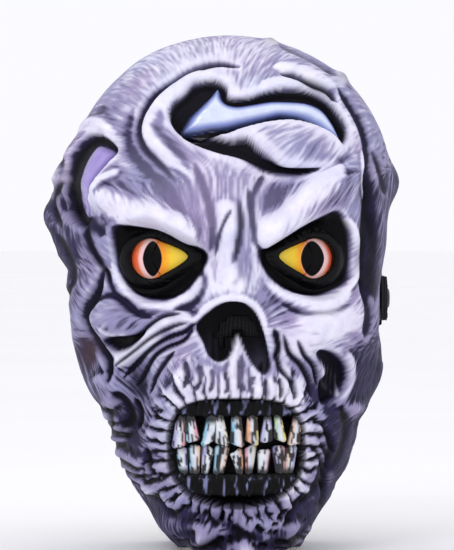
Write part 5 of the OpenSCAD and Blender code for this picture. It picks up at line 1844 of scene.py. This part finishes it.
def webbing(name, route, body, thick=STRAP_T):
    """Woven strap along a route, with rounded selvedges."""
    r = dense(np.array(route), 1.0)
    seg = np.r_[0, np.cumsum(np.linalg.norm(np.diff(r, axis=0), axis=1))]
    around = 28
    t = np.linspace(0, 2 * math.pi, around, endpoint=False)
    wide = STRAP_W / 2 * power(np.cos(t), 0.55)
    off = thick / 2 * power(np.sin(t), 0.45)
    verts = []
    for k in range(around):
        off_k = off[k] * (1 - 0.18 * (abs(wide[k]) / (STRAP_W / 2)) ** 6)
        rib = 0.05 * math.cos(wide[k] * 2 * math.pi / 2.4) * np.sign(off[k])
        q = beside(r, np.full(len(r), off_k + rib))
        z = RIVET_Z + wide[k] + 0.12 * np.sin(seg / 5.1 + 0.6)
        verts.append(np.c_[q, z])
    obj = new_mesh(name, np.vstack(verts), ring_faces(around, len(r)), [WEBBING], body=body)
    set_number(obj, "along", np.tile(seg, around))
    set_number(obj, "wide", np.repeat(wide, len(r)))
    return obj


turn_pts = [(RING_X + LOOP_OFF * math.cos(a), RING_BACK_Y - LOOP_OFF * math.sin(a))
            for a in np.linspace(0, math.pi, 16)]
right = dense(STRAP_RIGHT, 1.2)
band_route = np.vstack([STRAP_LEFT, beside(right, -layer_offsets(right, 0.0)), turn_pts[1:]])
band = webbing("strap_band_webbing", band_route, "strap")
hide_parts("strap_band")
ret = np.vstack([[[SLIDER_X + SLIDER_W / 2, STRAP_BACK_Y]], STRAP_RIGHT])
ret = dense(ret, 1.2)
back_layer = webbing("strap_return_webbing",
                     beside(ret, layer_offsets(ret, STRAP_T + MOVE_GAP)), None)
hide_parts("strap_return")
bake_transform(back_layer)

BAR_R = 1.0
LOOP_IN = BAR_R + 0.1
BAR_Y = STRAP_BACK_Y - STRAP_T / 2 - MOVE_GAP - (LOOP_IN + STRAP_T)
mid_r = LOOP_IN + STRAP_T / 2
loop = [(SLIDER_X + SLIDER_W / 2, BAR_Y + mid_r), (SLIDER_X + 1, BAR_Y + mid_r)]
loop += [(SLIDER_X + mid_r * math.cos(a), BAR_Y + mid_r * math.sin(a))
         for a in np.linspace(math.pi / 2, 2.2 * math.pi, 24)]
sewn = webbing("slider_loop_webbing", loop, "slider")
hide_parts("return_loop")

tab = [(RING_X + STRAP_T / 2, STRAP_END_Y), (RING_X + STRAP_T / 2, RING_FRONT_Y - 8)]
tab += [(RING_X + LOOP_OFF * math.sin(a), RING_FRONT_Y - LOOP_OFF * math.cos(a))
        for a in np.linspace(0.35 * math.pi, 1.65 * math.pi, 24)]
tab += [(RING_X - STRAP_T / 2, RING_FRONT_Y - 8), (RING_X - STRAP_T / 2, STRAP_END_Y)]
tab_piece = webbing("right_tab_webbing", tab, "strap", thick=STRAP_T - 0.06)
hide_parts("right_tab")

# ------------------------------------------------------------------ metal and plastic

GUNMETAL = metal_material("gunmetal_rivet", (0.16, 0.16, 0.18), (0.34, 0.34, 0.37), 0.32)
NICKEL = metal_material("nickel_eyelet", (0.50, 0.50, 0.53), (0.76, 0.76, 0.79), 0.28)
STEEL = metal_material("washer_steel", (0.46, 0.46, 0.48), (0.68, 0.68, 0.70), 0.36)
PLASTIC = rubber_material("moulded_black_plastic", 0.04, 0.36)
COATED = metal_material("black_coated_wire", (0.035, 0.035, 0.04), (0.10, 0.10, 0.115), 0.30)
THREAD = rubber_material("grey_thread", 0.16, 0.8)
for node, material in (("left_rivet", GUNMETAL), ("right_rivet", GUNMETAL), ("left_washer", STEEL),
                       ("right_washer", STEEL), ("right_spacer", PLASTIC), ("left_eyelet", NICKEL),
                       ("right_eyelet", NICKEL), ("strap_ring", COATED), ("strap_slider", PLASTIC),
                       ("strap_stitching", THREAD)):
    dress(node, material)
